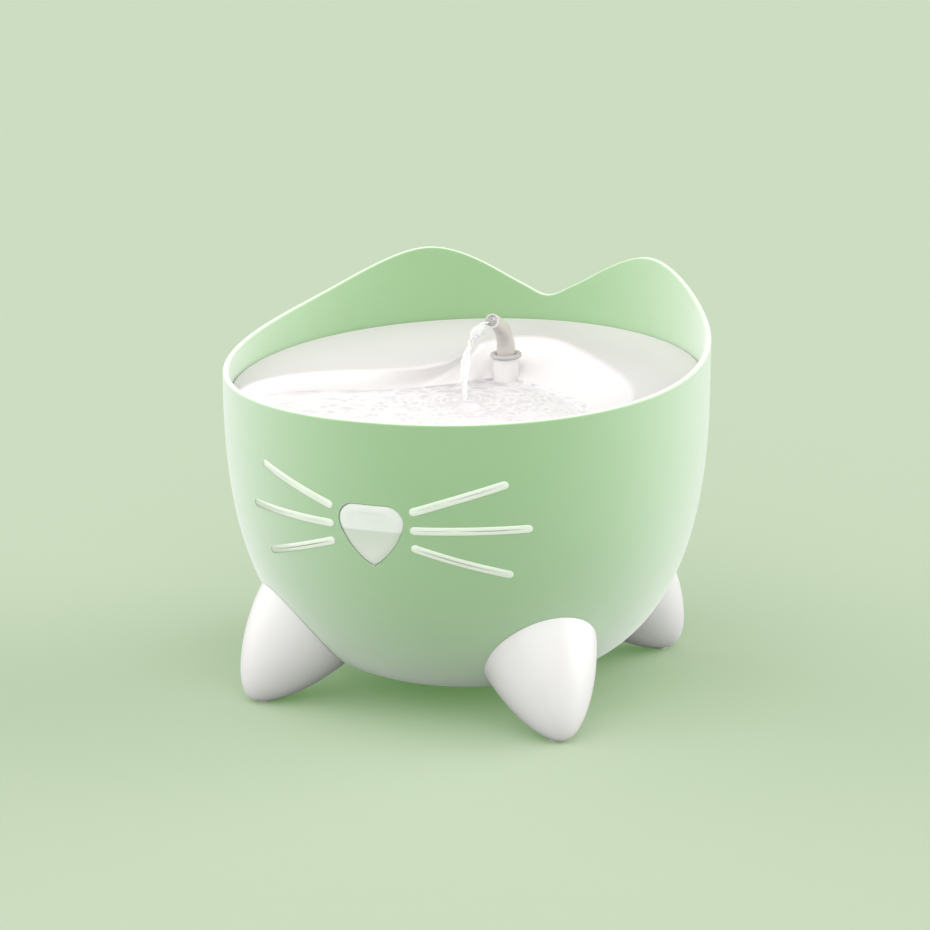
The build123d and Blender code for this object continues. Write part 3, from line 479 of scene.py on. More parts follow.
@dataclass(frozen=True)
class MouldedPlastic(Finish):
    """Moulded plastic or rubber with a fine grain.

    Attributes:
        softness: Share of light that spreads under the surface.
        sheen: Weight of the pale bloom towards the edges.
        bloom: Roughness of that bloom.
        painted_highlight: Share of the pale tone painted on edges that face up, as a highlight where the
            top light falls on them.
        pale: That tone.
        facing: Upward part of the normal at which it begins, and at which it shows in full.
    """

    roughness: float
    skin: Skin = Skin()
    softness: float = 0.0
    sheen: float = 0.0
    bloom: float = 0.5
    painted_highlight: float = 0.0
    pale: Colour = (0.62, 0.80, 0.52)
    facing: Point2 = (0.35, 0.95)

    def build(self, groups: Groups) -> Material:
        """Build the material from the moulded skin.

        Args:
            groups: The shader groups.

        Returns:
            The material.
        """
        material, board, shader = new_material(self.name)
        looks = {"Colour": self.colour, "Shade": self.shade, "Roughness": self.roughness}
        colour = self.skin.build(board, shader, groups.moulded, looks)
        # Painted highlight: a pale tone on faces that point up, where the top light falls on the bowl's
        # rim.
        if self.painted_highlight:
            upward = board.part(board.add("NewGeometry").outputs["Normal"], "Z")
            colour = board.mix(board.spread(upward, *self.facing, 0.0, self.painted_highlight), colour, self.pale)
        looks = {"Base Color": colour, "Sheen Weight": self.sheen, "Sheen Roughness": self.bloom}
        board.fill(shader, looks)
        if self.softness:
            spread = {"Subsurface Radius": (1.0, 1.0, 0.9), "Subsurface Scale": 0.002}
            board.fill(shader, {"Subsurface Weight": self.softness, **spread})
        return material


@dataclass(frozen=True)
class BasinPlastic(Finish):
    """Satin plastic of the deck; the second colour is the polished basin's that dips under it, painted
    paler than the deck to lift the shade in the basin.

    Attributes:
        deck_height: Height of the deck over the middle.
        deck_slope: Rise of the deck towards the back.
        lip: Heights over the deck between which the basin's tone gives way to the deck's.
        clouds: Brightness of the soft clouds, as a share of the tone.
    """

    deck_height: float = 0.159
    deck_slope: float = 0.1016
    lip: Point2 = (-0.0014, -0.0003)
    deck_roughness: float = 0.42
    basin_roughness: float = 0.2
    clouds: float = 0.975
    skin: Skin = Skin(18.0, 2400.0, 0.00002, 0.06)

    def build(self, groups: Groups) -> Material:
        """Build the material; its two tones meet at the basin's lip.

        Args:
            groups: The shader groups.

        Returns:
            The material.
        """
        material, board, shader = new_material(self.name)
        where = board.add("TexCoord").outputs["Object"]
        rise = board.sum("MULTIPLY", board.part(where, "Y"), self.deck_slope)
        over = board.sum("SUBTRACT", board.part(where, "Z"), board.sum("ADD", rise, self.deck_height))
        # Painted light: the basin's tone is paler than the deck's to lift the shade on its walls; its
        # lower roughness is the basin's real polish.
        dipped = board.spread(over, *self.lip, 1.0, 0.0)
        darker = [tuple(c * self.clouds for c in tone) for tone in (self.colour, self.shade)]
        looks = {
            "Colour": board.mix(dipped, self.colour, self.shade),
            "Shade": board.mix(dipped, *darker),
            "Roughness": board.spread(dipped, 0.0, 1.0, self.deck_roughness, self.basin_roughness),
        }
        board.fill(shader, {"Base Color": self.skin.build(board, shader, groups.moulded, looks)})
        return material


@dataclass(frozen=True)
class ClearPlastic(Finish):
    """Clear or smoky moulded plastic that light passes through.

    Attributes:
        clearness: Share of light that passes through.
        waterline: Height of the water that stands behind it, or none.
        wet: Colour under that line.
        edge: Painted shade that the lens darkens to towards its glancing edges, or none.
        line_width: How far the line reaches down and up.
        fade: Depth under the line at which the wet colour has faded.
        faded: Share of the wet colour that is left there.
        glancing: Where that painted shade begins and where it is full, from 0 face on to 1 side on.
    """

    roughness: float
    clearness: float
    waterline: float | None = None
    wet: Colour = (1.0, 1.0, 1.0)
    edge: Colour | None = None
    line_width: Point2 = (0.0006, 0.0003)
    fade: float = 0.018
    faded: float = 0.35
    glancing: Point2 = (0.42, 0.72)
    skin: Skin = Skin(90.0, 900.0, 0.00001, 0.05)

    def build(self, groups: Groups) -> Material:
        """Build the material, with a soft line where the water stands.

        Args:
            groups: The shader groups.

        Returns:
            The material.
        """
        material, board, shader = new_material(self.name)
        looks = {"Colour": self.colour, "Shade": self.shade, "Roughness": self.roughness}
        colour = self.skin.build(board, shader, groups.moulded, looks)
        if self.waterline is not None:
            height, line = board.part(board.add("TexCoord").outputs["Object"], "Z"), self.waterline
            under = board.spread(height, line - self.line_width[0], line + self.line_width[1], 1.0, 0.0)
            near = board.spread(height, line - self.fade, line, self.faded, 1.0)
            colour = board.mix(board.sum("MULTIPLY", under, near), colour, self.wet)
        # Painted shade: the colour darkens towards the lens's glancing edges.
        if self.edge is not None:
            rim = board.fill(board.add("LayerWeight"), {"Blend": 0.5})
            share = board.spread(rim.outputs["Facing"], *self.glancing, 0.0, 1.0)
            colour = board.mix(share, colour, self.edge)
        board.fill(shader, {"Base Color": colour, "Transmission Weight": self.clearness, "IOR": 1.49})
        return material


@dataclass(frozen=True)
class Water(Finish):
    """Clean water whose steeper slopes are tinted grey, a painted shade that shows its ripples.

    Attributes:
        slope_shade: Painted shade on the steeper slopes of its skin, standing in for the ripples' darker
            reflections.
        clearness: Share of light that passes through.
        level: Upward part of the normal at which the painted shade begins to show.
        steep: Upward part of the normal at which it shows in full; the rounded shore lies beyond.
        shore: Upward part of the normal at which the painted shade is gone again.
    """

    slope_shade: Colour
    clearness: float = 1.0
    level: float = 0.995
    steep: float = 0.95
    shore: float = 0.75
    roughness: float = 0.01
    skin: Skin = Skin(60.0, 240.0, 0.00012, 0.01)

    def build(self, groups: Groups) -> Material:
        """Build the material from the moulded skin's broad clouds.

        Args:
            groups: The shader groups.

        Returns:
            The material.
        """
        material, board, shader = new_material(self.name)
        looks = {"Colour": self.colour, "Shade": self.shade, "Roughness": self.roughness}
        colour = self.skin.build(board, shader, groups.moulded, looks)
        # Painted shade: the steeper slopes of the skin are tinted grey, standing in for the ripples'
        # darker reflections.
        upward = board.part(board.add("NewGeometry").outputs["Normal"], "Z")
        tilt = board.spread(upward, self.steep, self.level, 1.0, 0.0)
        inland = board.spread(upward, self.shore, self.steep, 0.0, 1.0)
        colour = board.mix(board.sum("MULTIPLY", tilt, inland), colour, self.slope_shade)
        board.fill(shader, {"Base Color": colour, "Transmission Weight": self.clearness, "IOR": 1.333})
        return material


@dataclass(frozen=True)
class LinedMetal(Finish):
    """Metal whose surface runs in fine lines of the second colour.

    Attributes:
        along: Lines per metre across X, Y and Z.
        depth: Depth of the lines in metres.
        wander: How far the lines stray from straight.
        polish: How much smoother it is between the lines, and how much rougher on them.
    """

    along: tuple[float, float, float]
    roughness: float
    depth: float = 0.00002
    wander: float = 0.2
    polish: Point2 = (0.06, 0.08)

    def build(self, groups: Groups) -> Material:
        """Build the material from the fine lines.

        Args:
            groups: The shader groups.

        Returns:
            The material.
        """
        material, board, shader = new_material(self.name)
        lines = board.add("Group", node_tree=groups.lined)
        board.fill(lines, {"Along": self.along, "Wander": self.wander})
        mask = lines.outputs["Mask"]
        smooth, rough = self.roughness - self.polish[0], self.roughness + self.polish[1]
        colour = board.mix(mask, self.colour, self.shade)
        roughness = board.spread(mask, 0.0, 1.0, smooth, rough)
        board.fill(shader, {"Base Color": colour, "Roughness": roughness, "Metallic": 1.0})
        bump(board, shader, lines.outputs["Height"], self.depth)
        return material


@dataclass(frozen=True)
class CellMaterial(Finish):
    """Foam or packed grains, with the second colour in the middle of each cell.

    Attributes:
        cells: Cells per metre.
        depth: Depth of the cells in metres.
        roughness: Roughness of the middles and of the walls.
    """

    cells: float
    depth: float
    roughness: Point2 = (0.95, 0.75)

    def build(self, groups: Groups) -> Material:
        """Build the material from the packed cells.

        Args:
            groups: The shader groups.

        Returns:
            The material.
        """
        material, board, shader = new_material(self.name)
        cells = board.fill(board.add("Group", node_tree=groups.cells), {"Cell Scale": self.cells})
        mask = cells.outputs["Mask"]
        rough = board.spread(mask, 0.0, 1.0, *self.roughness)
        board.fill(shader, {"Base Color": board.mix(mask, self.shade, self.colour), "Roughness": rough})
        bump(board, shader, cells.outputs["Height"], self.depth)
        return material


FINISHES = (
    MouldedPlastic(
        "bowl_green", (0.235, 0.455, 0.175), (0.228, 0.445, 0.168), 0.5, softness=0.1, sheen=1.0,
        bloom=0.7, painted_highlight=0.75
    ),
    BasinPlastic("top_white", (0.625, 0.600, 0.592), (0.80, 0.775, 0.77)),
    MouldedPlastic("ring_grey", (0.50, 0.49, 0.48), (0.46, 0.45, 0.44), 0.18, Skin(depth=0.00001)),
    MouldedPlastic("foot_white", (0.725, 0.71, 0.70), (0.71, 0.695, 0.685), 0.36, softness=0.1),
    MouldedPlastic("box_white", (0.80, 0.80, 0.78), (0.77, 0.77, 0.75), 0.36),
    MouldedPlastic(
        "seal_grey", (0.62, 0.63, 0.61), (0.57, 0.58, 0.56), 0.62, Skin(grains=1800.0, depth=0.00005)
    ),
    MouldedPlastic(
        "pad_grey", (0.66, 0.66, 0.64), (0.60, 0.60, 0.58), 0.70, Skin(grains=1500.0, depth=0.00006)
    ),
    MouldedPlastic("pump_black", (0.022, 0.023, 0.025), (0.03, 0.031, 0.033), 0.38, Skin(depth=0.00006)),
    MouldedPlastic("impeller_ivory", (0.76, 0.74, 0.68), (0.72, 0.70, 0.64), 0.28),
    MouldedPlastic(
        "magnet_black", (0.05, 0.05, 0.052), (0.07, 0.068, 0.066), 0.55, Skin(grains=900.0, depth=0.00008)
    ),
    ClearPlastic("spout_smoke", (0.80, 0.755, 0.725), (0.74, 0.69, 0.66), 0.14, 0.3),
    ClearPlastic("tube_clear", (0.90, 0.94, 0.92), (0.86, 0.91, 0.89), 0.08, 0.85),
    ClearPlastic(
        "whisker_clear", (0.90, 0.97, 0.84), (0.85, 0.94, 0.79), 0.18, 0.1, edge=(0.30, 0.42, 0.24)
    ),
    ClearPlastic(
        "nose_clear", (0.90, 0.94, 0.88), (0.86, 0.91, 0.84), 0.08, 0.12, WATERLINE,
        (0.70, 0.77, 0.65), (0.20, 0.30, 0.16)
    ),
    ClearPlastic("window_frosted", (0.80, 0.90, 0.76), (0.76, 0.87, 0.72), 0.34, 0.30),
    Water("pool_water", (0.91, 0.905, 0.915), (0.88, 0.875, 0.885), (0.58, 0.565, 0.60)),
    Water("stream_water", (1.0, 1.0, 1.0), (0.95, 0.95, 0.95), (0.80, 0.80, 0.81), 0.85),
    LinedMetal("screw_steel", (0.56, 0.56, 0.57), (0.44, 0.44, 0.46), (2500.0, 2500.0, 300.0), 0.32),
    LinedMetal("shaft_steel", (0.66, 0.66, 0.67), (0.55, 0.55, 0.57), (2500.0, 300.0, 2500.0), 0.22),
    LinedMetal("core_plates", (0.30, 0.30, 0.32), (0.16, 0.16, 0.17), (40.0, 1500.0, 40.0), 0.45, 0.0001),
    LinedMetal("coil_copper", (0.72, 0.33, 0.16), (0.45, 0.18, 0.08), (1400.0, 60.0, 60.0), 0.30, 0.0002),
    CellMaterial("foam_white", (0.80, 0.81, 0.77), (0.50, 0.51, 0.48), 700.0, 0.0006),
    CellMaterial("media_carbon", (0.05, 0.05, 0.05), (0.012, 0.012, 0.012), 520.0, 0.0008),
)

CORNERS = ("front_left", "front_right", "rear_right", "rear_left")

NODE_FINISH = {
    "bowl": "bowl_green",
    "face_window": "window_frosted",
    **{f"foot_{corner}": "foot_white" for corner in CORNERS},
    **{f"foot_pad_{corner}": "pad_grey" for corner in CORNERS},
    "foot_screws": "screw_steel",
    "drinking_top": "top_white",
    "spout_ring": "ring_grey",
    "spout": "spout_smoke",
    **{node: "pump_black" for node in ("pump_housing", "volute_plate", "pump_cover")},
    **{
        node: "seal_grey"
        for node in ("window_gasket", "cable_grommet", "suction_cups", "rear_bush", "front_bush")
    },
    "stator_core": "core_plates",
    "stator_coil": "coil_copper",
    "rotor_shaft": "shaft_steel",
    "rotor_magnet": "magnet_black",
    **{node: "impeller_ivory" for node in ("impeller", "flow_knob")},
    "riser_tube": "tube_clear",
    **{node: "box_white" for node in ("filter_box", "filter_frame", "filter_lid")},
    "filter_media": "media_carbon",
    "filter_foam": "foam_white",
}


@dataclass
class Finisher:
    """Builds every finish once and dresses the carried-over nodes with them."""

    materials: dict[str, Material] = field(default_factory=dict)

    def build(self) -> None:
        """Build the shader groups and every finish."""
        groups = Groups(moulded_group(), lined_group(), cells_group())
        for finish in FINISHES:
            self.materials[finish.name] = finish.build(groups)

    def dress(self) -> None:
        """Give each node of the frame its finish."""
        for node, finish in NODE_FINISH.items():
            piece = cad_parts[node]
            piece.data.materials.clear()
            piece.data.materials.append(self.materials[finish])
            log.info("%s: finish %s", node, finish)


# --- The bowl's form, for what follows its wall ---
@dataclass
class BowlForm:
    """Turned outside of the bowl, as a half section.

    It is a Bezier curve from the flat underside to the upright shoulder, and each pull is the
    length of its handle there.
    """

    radius: float = 0.1245
    wall: float = 0.003
    underside_height: float = 0.0076
    underside_radius: float = 0.028
    underside_pull: float = 0.072
    shoulder_height: float = 0.152
    shoulder_pull: float = 0.085

    def side(self, inset: float, count: int) -> np.ndarray:
        """Points up the wall.

        Args:
            inset: Distance inside the outer face.
            count: How many points.

        Returns:
            Radius and height of each, from the flat underside to the shoulder.
        """
        low = (self.underside_radius, self.underside_height)
        first = (self.underside_radius + self.underside_pull, self.underside_height)
        second = (self.radius, self.shoulder_height - self.shoulder_pull)
        corners = np.array((low, first, second, (self.radius, self.shoulder_height)))
        t = np.linspace(0, 1, count)[:, None]
        spots = np.hstack(((1 - t) ** 3, 3 * t * (1 - t) ** 2, 3 * t * t * (1 - t), t**3)) @ corners
        ways = np.hstack(((1 - t) ** 2, 2 * t * (1 - t), t * t)) @ np.diff(corners, axis=0)
        ways /= np.linalg.norm(ways, axis=1)[:, None]
        return spots + inset * ways[:, ::-1] * (-1, 1)

    def radius_at(self, height: float, inset: float) -> float:
        """Measure the wall.

        Args:
            height: Where to measure.
            inset: Distance inside the outer face.

        Returns:
            The radius there.
        """
        if height >= self.shoulder_height:
            return self.radius - inset
        side = self.side(inset, 60)
        return float(np.interp(height, side[:, 1], side[:, 0]))

    def on_front(self, across: float, height: float, inset: float) -> Vector:
        """Find the point of the front wall that is straight behind a place in the front view.

        Args:
            across: How far right of the middle the place is.
            height: Its height.
            inset: Distance inside the outer face.

        Returns:
            The point.
        """
        radius = self.radius_at(height, inset)
        return Vector((across, -sqrt(radius**2 - across**2), height))


# --- Water ---
@dataclass(frozen=True)
class Waves:
    """One size of the uneven waves on the pool.

    Attributes:
        height: How high they stand.
        length: Their length across.
        depth: Their length from front to back.
        seed: Where in the noise they are taken.
    """

    height: float
    length: float
    depth: float
    seed: float

    def at(self, x: float, y: float) -> float:
        """Noise of the waves at a place, around 0."""
        return noise.noise(Vector((x / self.length, y / self.depth, self.seed)))


@dataclass
class Pool:
    """Water that stands in the drinking basin, rippled by the stream.

    Its rim and bed are the basin's outlines at the deck and at the floor, in millimetres.

    Attributes:
        sink: How far the water reaches into the basin's wall and floor.
        fall: Where the stream falls in, with a mound and ripple rings round it.
        crest_level: How much of the sharp crests lies under the still level.
        calm_reach: Distance from the fall at which the waves give way to still water.
        shore: Share of the way to the edge at which the waves begin to settle.
        shore_span: Share of the way that this takes.
        shore_rise: How far the edge stands over the still level.
    """

    rim: tuple[Point2, ...] = (
        (96, -18), (85, 13), (64, 41), (37, 70), (8, 87), (-13, 78), (-19, 55), (-19, 33), (-30, 14.5),
        (-58, 2), (-88, -12), (-103, -30), (-106, -46), (-98, -64), (-75, -84), (-30, -102), (20, -104),
        (62, -89), (89, -57),
    )
    bed: tuple[Point2, ...] = (
        (62, -22), (55, -5), (42, 13), (24, 33), (6, 46), (-10, 46), (-16.5, 39), (-17, 28), (-29, 11),
        (-57, -2), (-86, -15), (-99.5, -32), (-102, -46), (-95, -61.5), (-73, -80), (-29, -98), (18, -99),
        (53, -82), (66, -52),
    )
    floor: float = 0.142
    level: float = 0.1482
    deck: float = 0.159
    deck_tilt: float = 5.8
    sink: float = 0.0003
    middle: Point2 = (-10.0, -32.0)
    spokes: int = 288
    rings: int = 84
    fall: Point2 = (0.001, -0.004)
    ring_height: float = 0.0010
    ring_length: float = 0.0085
    ring_reach: float = 0.026
    mound: float = 0.0009
    mound_reach: float = 0.004
    chop: Waves = Waves(0.0011, 0.013, 0.011, 3.1)
    crests: Waves = Waves(0.0016, 0.009, 0.0075, 8.4)
    crest_level: float = 0.3
    fine: Waves = Waves(0.0004, 0.0042, 0.0038, 1.7)
    calm_reach: float = 0.095
    shore: float = 0.97
    shore_span: float = 0.03
    shore_rise: float = 0.0005

    def ripple(self, x: float, y: float) -> float:
        """Work out the ripples of the water's skin.

        Args:
            x: Place across, in metres.
            y: Place from front to back, in metres.

        Returns:
            Height over the still level.
        """
        away = hypot(x - self.fall[0], y - self.fall[1])
        rings = self.ring_height * cos(2 * pi * away / self.ring_length) * exp(-away / self.ring_reach)
        mound = self.mound * exp(-((away / self.mound_reach) ** 2))
        crest = 0.5 - abs(self.crests.at(x, y)) - self.crest_level
        calm = 1 / (1 + (away / self.calm_reach) ** 6)
        waves = self.chop.height * self.chop.at(x, y) + self.crests.height * crest
        return rings + mound + calm * (waves + self.fine.height * self.fine.at(x, y))

    def build(self, finisher: Finisher) -> None:
        """Skin the pool from its middle over the ripples and back under.

        Args:
            finisher: Holds the finishes.
        """
        rim = smooth_curve(self.rim, self.spokes, True) * MM
        bed = smooth_curve(self.bed, self.spokes, True) * MM
        lip = self.deck + rim[:, 1] * tan(radians(self.deck_tilt))
        share = ((self.level - self.floor) / (lip - self.floor))[:, None]
        edge = bed + share * (rim - bed)
        middle = np.array(self.middle) * MM
        grow = 1 + self.sink / np.linalg.norm(edge - middle, axis=1)[:, None]
        rings: list[list[Vector]] = [[Vector((*middle, self.level + self.ripple(*middle)))]]
        for k in range(1, self.rings + 1):
            reach = k / self.rings
            spots = middle + (edge - middle) * grow * reach
            near = max(0.0, (reach - self.shore) / self.shore_span)
            ring = []
            for x, y in spots:
                height = self.ripple(x, y) * (1 - near) + self.shore_rise * near
                ring.append(Vector((x, y, self.level + height)))
            rings.append(ring)
        under = middle + (bed - middle) * (1 + self.sink / np.linalg.norm(bed - middle, axis=1)[:, None])
        rings.append([Vector((x, y, self.floor - self.sink)) for x, y in under])
        rings.append([Vector((*middle, self.floor - self.sink))])
        pool = ringed_mesh("pool_water", rings)
        pool.visible_shadow = False
        place(pool, Body.TOP, finisher.materials["pool_water"])


@dataclass
class Stream:
    """Water that falls from the nozzle in a twisting, knotted rope.

    Attributes:
        path: Its middle line from inside the nozzle to the pool, in millimetres.
        mouth: Radius in the nozzle.
        mouth_reach: Distance in which the round stream turns into the flat rope.
        link: Length of one swelling.
        swelling: Middle and swing of the width along a link.
        flattening: The same for the thickness, which falls as the width grows.
        twist: Half turns in one link.
        thinning: Share of the width that is lost over the fall.
        waist: Thickness at the middle of the section, and what is added to it at its edges.
        wobble: Share by which the surface wanders.
    """

    path: tuple[tuple[float, float, float], ...] = (
        (0.0, 38.5, 182.4), (0.0, 34.0, 183.4), (-0.2, 26.0, 182.9), (-0.3, 16.5, 180.4),
        (-0.2, 8.0, 176.8), (0.0, 1.6, 172.2), (0.2, -2.2, 167.0), (0.4, -3.8, 161.0),
        (0.7, -4.3, 154.5), (1.0, -4.4, 147.0),
    )
    half_width: float = 0.0038
    half_depth: float = 0.0017
    mouth: float = 0.0028
    mouth_reach: float = 0.009
    link: float = 0.024
    swelling: Point2 = (0.72, 0.28)
    flattening: Point2 = (1.15, 0.35)
    twist: float = 0.9
    thinning: float = 0.45
    fall: float = 0.06
    waist: Point2 = (0.55, 0.75)
    wobble: float = 0.16
    wobble_length: float = 0.006
    wobble_turn: float = 3.0
    samples: int = 150
    sides: int = 32

    def build(self, finisher: Finisher) -> None:
        """Sweep a waisted section that turns and swells along the fall.

        Args:
            finisher: Holds the finishes.
        """
        line = [Vector(p) * MM for p in smooth_curve(self.path, self.samples, False)]
        rings: list[list[Vector]] = []
        gone = 0.0
        for i, spot in enumerate(line):
            ahead = line[min(i + 1, len(line) - 1)] - line[max(i - 1, 0)]
            ahead.normalize()
            if i:
                gone += (spot - line[i - 1]).length
            across = Vector((1, 0, 0))
            up = ahead.cross(across).normalized()
            phase = gone / self.link
            swell = self.swelling[0] + self.swelling[1] * cos(2 * pi * phase)
            flat = self.flattening[0] - self.flattening[1] * swell
            inside = max(0.0, 1 - gone / self.mouth_reach)
            turn = pi * phase * self.twist
            thin = 1 - self.thinning * gone / self.fall
            wide = self.mouth * inside + (1 - inside) * self.half_width * swell * thin
            deep = self.mouth * inside + (1 - inside) * self.half_depth * flat
            ring = []
            for k in range(self.sides):
                a = 2 * pi * k / self.sides
                waist = inside + (1 - inside) * (self.waist[0] + self.waist[1] * cos(a) ** 2)
                x, y = wide * cos(a), deep * sin(a) * waist
                where = (self.wobble_turn * cos(a), self.wobble_turn * sin(a), gone / self.wobble_length)
                wobble = 1 + self.wobble * noise.noise(Vector(where))
                turned = (x * cos(turn) - y * sin(turn), x * sin(turn) + y * cos(turn))
                ring.append(spot + (across * turned[0] + up * turned[1]) * wobble)
            rings.append(ring)
        stream = ringed_mesh("stream_water", rings)
        stream.visible_shadow = False
        place(stream, Body.SPOUT, finisher.materials["stream_water"])


@dataclass
class Reservoir:
    """Water that stands inside the bowl, up to the line behind the nose."""

    form: BowlForm
    level: float = WATERLINE
    spokes: int = 96
    sink: float = 0.0002
    rings: tuple[float, ...] = (0.97, 0.85, 0.5)

    def build(self, finisher: Finisher) -> None:
        """Turn the bowl's inside up to the water's level.

        Args:
            finisher: Holds the finishes.
        """
        side = [p for p in self.form.side(self.form.wall - self.sink, 40) if p[1] < self.level]
        side.append((self.form.radius_at(self.level, self.form.wall - self.sink), self.level))
        rings: list[list[Vector]] = [[Vector((0, 0, side[0][1]))]]
        for radius, height in side:
            turn = [2 * pi * k / self.spokes for k in range(self.spokes)]
            rings.append([Vector((radius * cos(a), radius * sin(a), height)) for a in turn])
        for share in self.rings:
            rings.append([Vector((p.x * share, p.y * share, self.level)) for p in rings[len(side)]])
        rings.append([Vector((0, 0, self.level))])
        water = ringed_mesh("reservoir_water", rings)
        water.visible_shadow = False
        place(water, Body.BASE, finisher.materials["pool_water"])


# --- Face ---
@dataclass
class Face:
    """Domed lenses over the nose and whisker openings, with sizes in millimetres.

    Attributes:
        nose_side: A point on the nose's bowed side, across and up.
        strip_edge: How far the edge of a whisker's lens lies behind the wall's face.
        strip_crown: How far its crown lies behind it.
        whiskers: Near and far end of each whisker on the right, across and up.
        gap: Gap between a lens and its opening.
        throat_gap: How much wider that gap is round the nose's lens inside its opening.
        rim_inset: How far the edge of the nose's lens lies behind the wall's face.
        crown_inset: How far its crown lies behind it.
        back_inset: How far the back of the lenses lies behind it.
        nose_middle: Height of the nose's crown, as a share of the way from its top to its tip.
        nose_crown: Size of the nose's crown as a share of its outline.
        whisker_crown: Half width of a whisker's crown as a share of the lens's width.
    """

    form: BowlForm
    nose_top: float = 119.8
    nose_tip: float = 88.6
    nose_half: float = 18.4
    nose_side: Point2 = (12.8, 101.2)
    corner: float = 8.5
    tip: float = 5.0
    slot_width: float = 2.6
    whisker_width: float = 4.0
    strip_edge: float = -0.03
    strip_crown: float = -0.3
    whiskers: tuple[tuple[Point2, Point2], ...] = (
        ((21.6, 117.6), (61.6, 131.0)),
        ((21.6, 108.3), (70.6, 109.2)),
        ((21.6, 99.3), (61.6, 86.6)),
    )
    gap: float = 0.25
    throat_gap: float = 0.01
    rim_inset: float = 0.7
    crown_inset: float = -0.05
    back_inset: float = 1.9
    nose_middle: float = 0.45
    nose_crown: float = 0.72
    whisker_crown: float = 0.06
    steps: int = 9
    tip_points: int = 9
    side_points: int = 22
    corner_points: int = 13
    edge_points: int = 24

    def nose_outline(self, inset: float) -> list[Point2]:
        """Rounded triangle of the nose.

        Args:
            inset: Distance inside the opening's edge.

        Returns:
            Points across and up, anticlockwise from the tip.
        """
        # The bowed side lies on the circle through an upper corner, the side point and the tip.
        (bx, bz), (cx, cz) = self.nose_side, (0.0, self.nose_tip)
        ax, az = self.nose_half, self.nose_top
        turn = 2 * (ax * (bz - cz) + bx * (cz - az) + cx * (az - bz))
        squares = [x * x + z * z for x, z in ((ax, az), (bx, bz), (cx, cz))]
        mx = (squares[0] * (bz - cz) + squares[1] * (cz - az) + squares[2] * (az - bz)) / turn
        mz = (squares[0] * (cx - bx) + squares[1] * (ax - cx) + squares[2] * (bx - ax)) / turn
        big = hypot(ax - mx, az - mz)
        # The round corner and the round tip touch that circle from inside.
        corner_z = self.nose_top - self.corner
        corner_x = mx + sqrt((big - self.corner) ** 2 - (corner_z - mz) ** 2)
        tip_z = mz - sqrt((big - self.tip) ** 2 - mx**2)
        side_low = np.arctan2(tip_z - mz, -mx)
        side_high = np.arctan2(corner_z - mz, corner_x - mx)
        half: list[Point2] = []
        for a in np.linspace(-pi / 2, side_low, self.tip_points):
            half.append(((self.tip - inset) * cos(a), tip_z + (self.tip - inset) * sin(a)))
        for a in np.linspace(side_low, side_high, self.side_points)[1:-1]:
            half.append((mx + (big - inset) * cos(a), mz + (big - inset) * sin(a)))
        for a in np.linspace(side_high, pi / 2, self.corner_points):
            spot = (corner_x + (self.corner - inset) * cos(a), corner_z + (self.corner - inset) * sin(a))
            half.append(spot)
        top = [(corner_x * share, self.nose_top - inset) for share in (0.66, 0.33, 0.0)]
        mirrored = [(-x, z) for x, z in reversed(half[1:] + top[:-1])]
        return half + top + mirrored

    def strip(self, start: Vector, end: Vector, half: float) -> list[Point2]:
        """Round-ended outline of a whisker.

        Args:
            start: Centre of its near end, across and up.
            end: Centre of its far end.
            half: Half its width.

        Returns:
            Points across and up, evenly many for every width.
        """
        along = (end - start).normalized()
        normal = Vector((-along.y, along.x))
        points: list[Point2] = []
        for here, there, lead in ((end, start, 1), (start, end, -1)):
            for k in range(self.corner_points):
                a = -pi / 2 + pi * k / (self.corner_points - 1)
                points.append(tuple(here + lead * half * (along * cos(a) + normal * sin(a))))
            for k in range(1, self.edge_points):
                points.append(tuple(here.lerp(there, k / self.edge_points) + lead * half * normal))
        return points

    def ring(self, outline: list[Point2], inset: float) -> list[Vector]:
        """Lay an outline of the front view on the wall, inset behind its face."""
        return [self.form.on_front(x * MM, z * MM, inset * MM) for x, z in outline]

    def dome(
        self, name: str, outline: list[Point2], core: list[Point2], edge: float, crown: float,
        throat: list[Point2], finish: Material
    ) -> None:
        """Raise a lens whose edge is an outline and whose crown is its core.

        Args:
            name: Name of the piece.
            outline: Edge of the lens in the front view.
            core: As many points, to which the outline shrinks at the crown.
            edge: How far the edge lies behind the wall's face.
            crown: How far the crown lies behind it.
            throat: As many points, the lens's outline inside its opening.
            finish: Material of the lens.
        """
        rings = [self.ring(throat, self.back_inset), self.ring(throat, edge)]
        for k in range(self.steps + 1):
            a = pi / 2 * k / self.steps
            share = 1 - cos(a)
            spots = [(x + (u - x) * share, z + (w - z) * share) for (x, z), (u, w) in zip(outline, core)]
            rings.append(self.ring(spots, edge + (crown - edge) * sin(a)))
        lens = ringed_mesh(name, rings)
        place(lens, Body.BASE, finish)

    def build(self, finisher: Finisher) -> None:
        """Build the nose and the six whiskers.

        Args:
            finisher: Holds the finishes.
        """
        outline = self.nose_outline(self.gap)
        middle = self.nose_top - self.nose_middle * (self.nose_top - self.nose_tip)
        core = [(x * self.nose_crown, middle + (z - middle) * self.nose_crown) for x, z in outline]
        rises = (self.rim_inset, self.crown_inset)
        throat = self.nose_outline(self.gap + self.throat_gap)
        self.dome("nose_lens", outline, core, *rises, throat, finisher.materials["nose_clear"])
        for side, word in ((-1, "left"), (1, "right")):
            for number, (near, far) in enumerate(self.whiskers, 1):
                start, end = Vector((side * near[0], near[1])), Vector((side * far[0], far[1]))
                crown, opening = self.whisker_width * self.whisker_crown, self.slot_width / 2 - self.gap
                halves = (self.whisker_width / 2, crown, opening)
                outline, core, throat = (self.strip(start, end, half) for half in halves)
                rises = (self.strip_edge, self.strip_crown)
                name = f"whisker_{word}_{number}"
                self.dome(name, outline, core, *rises, throat, finisher.materials["whisker_clear"])


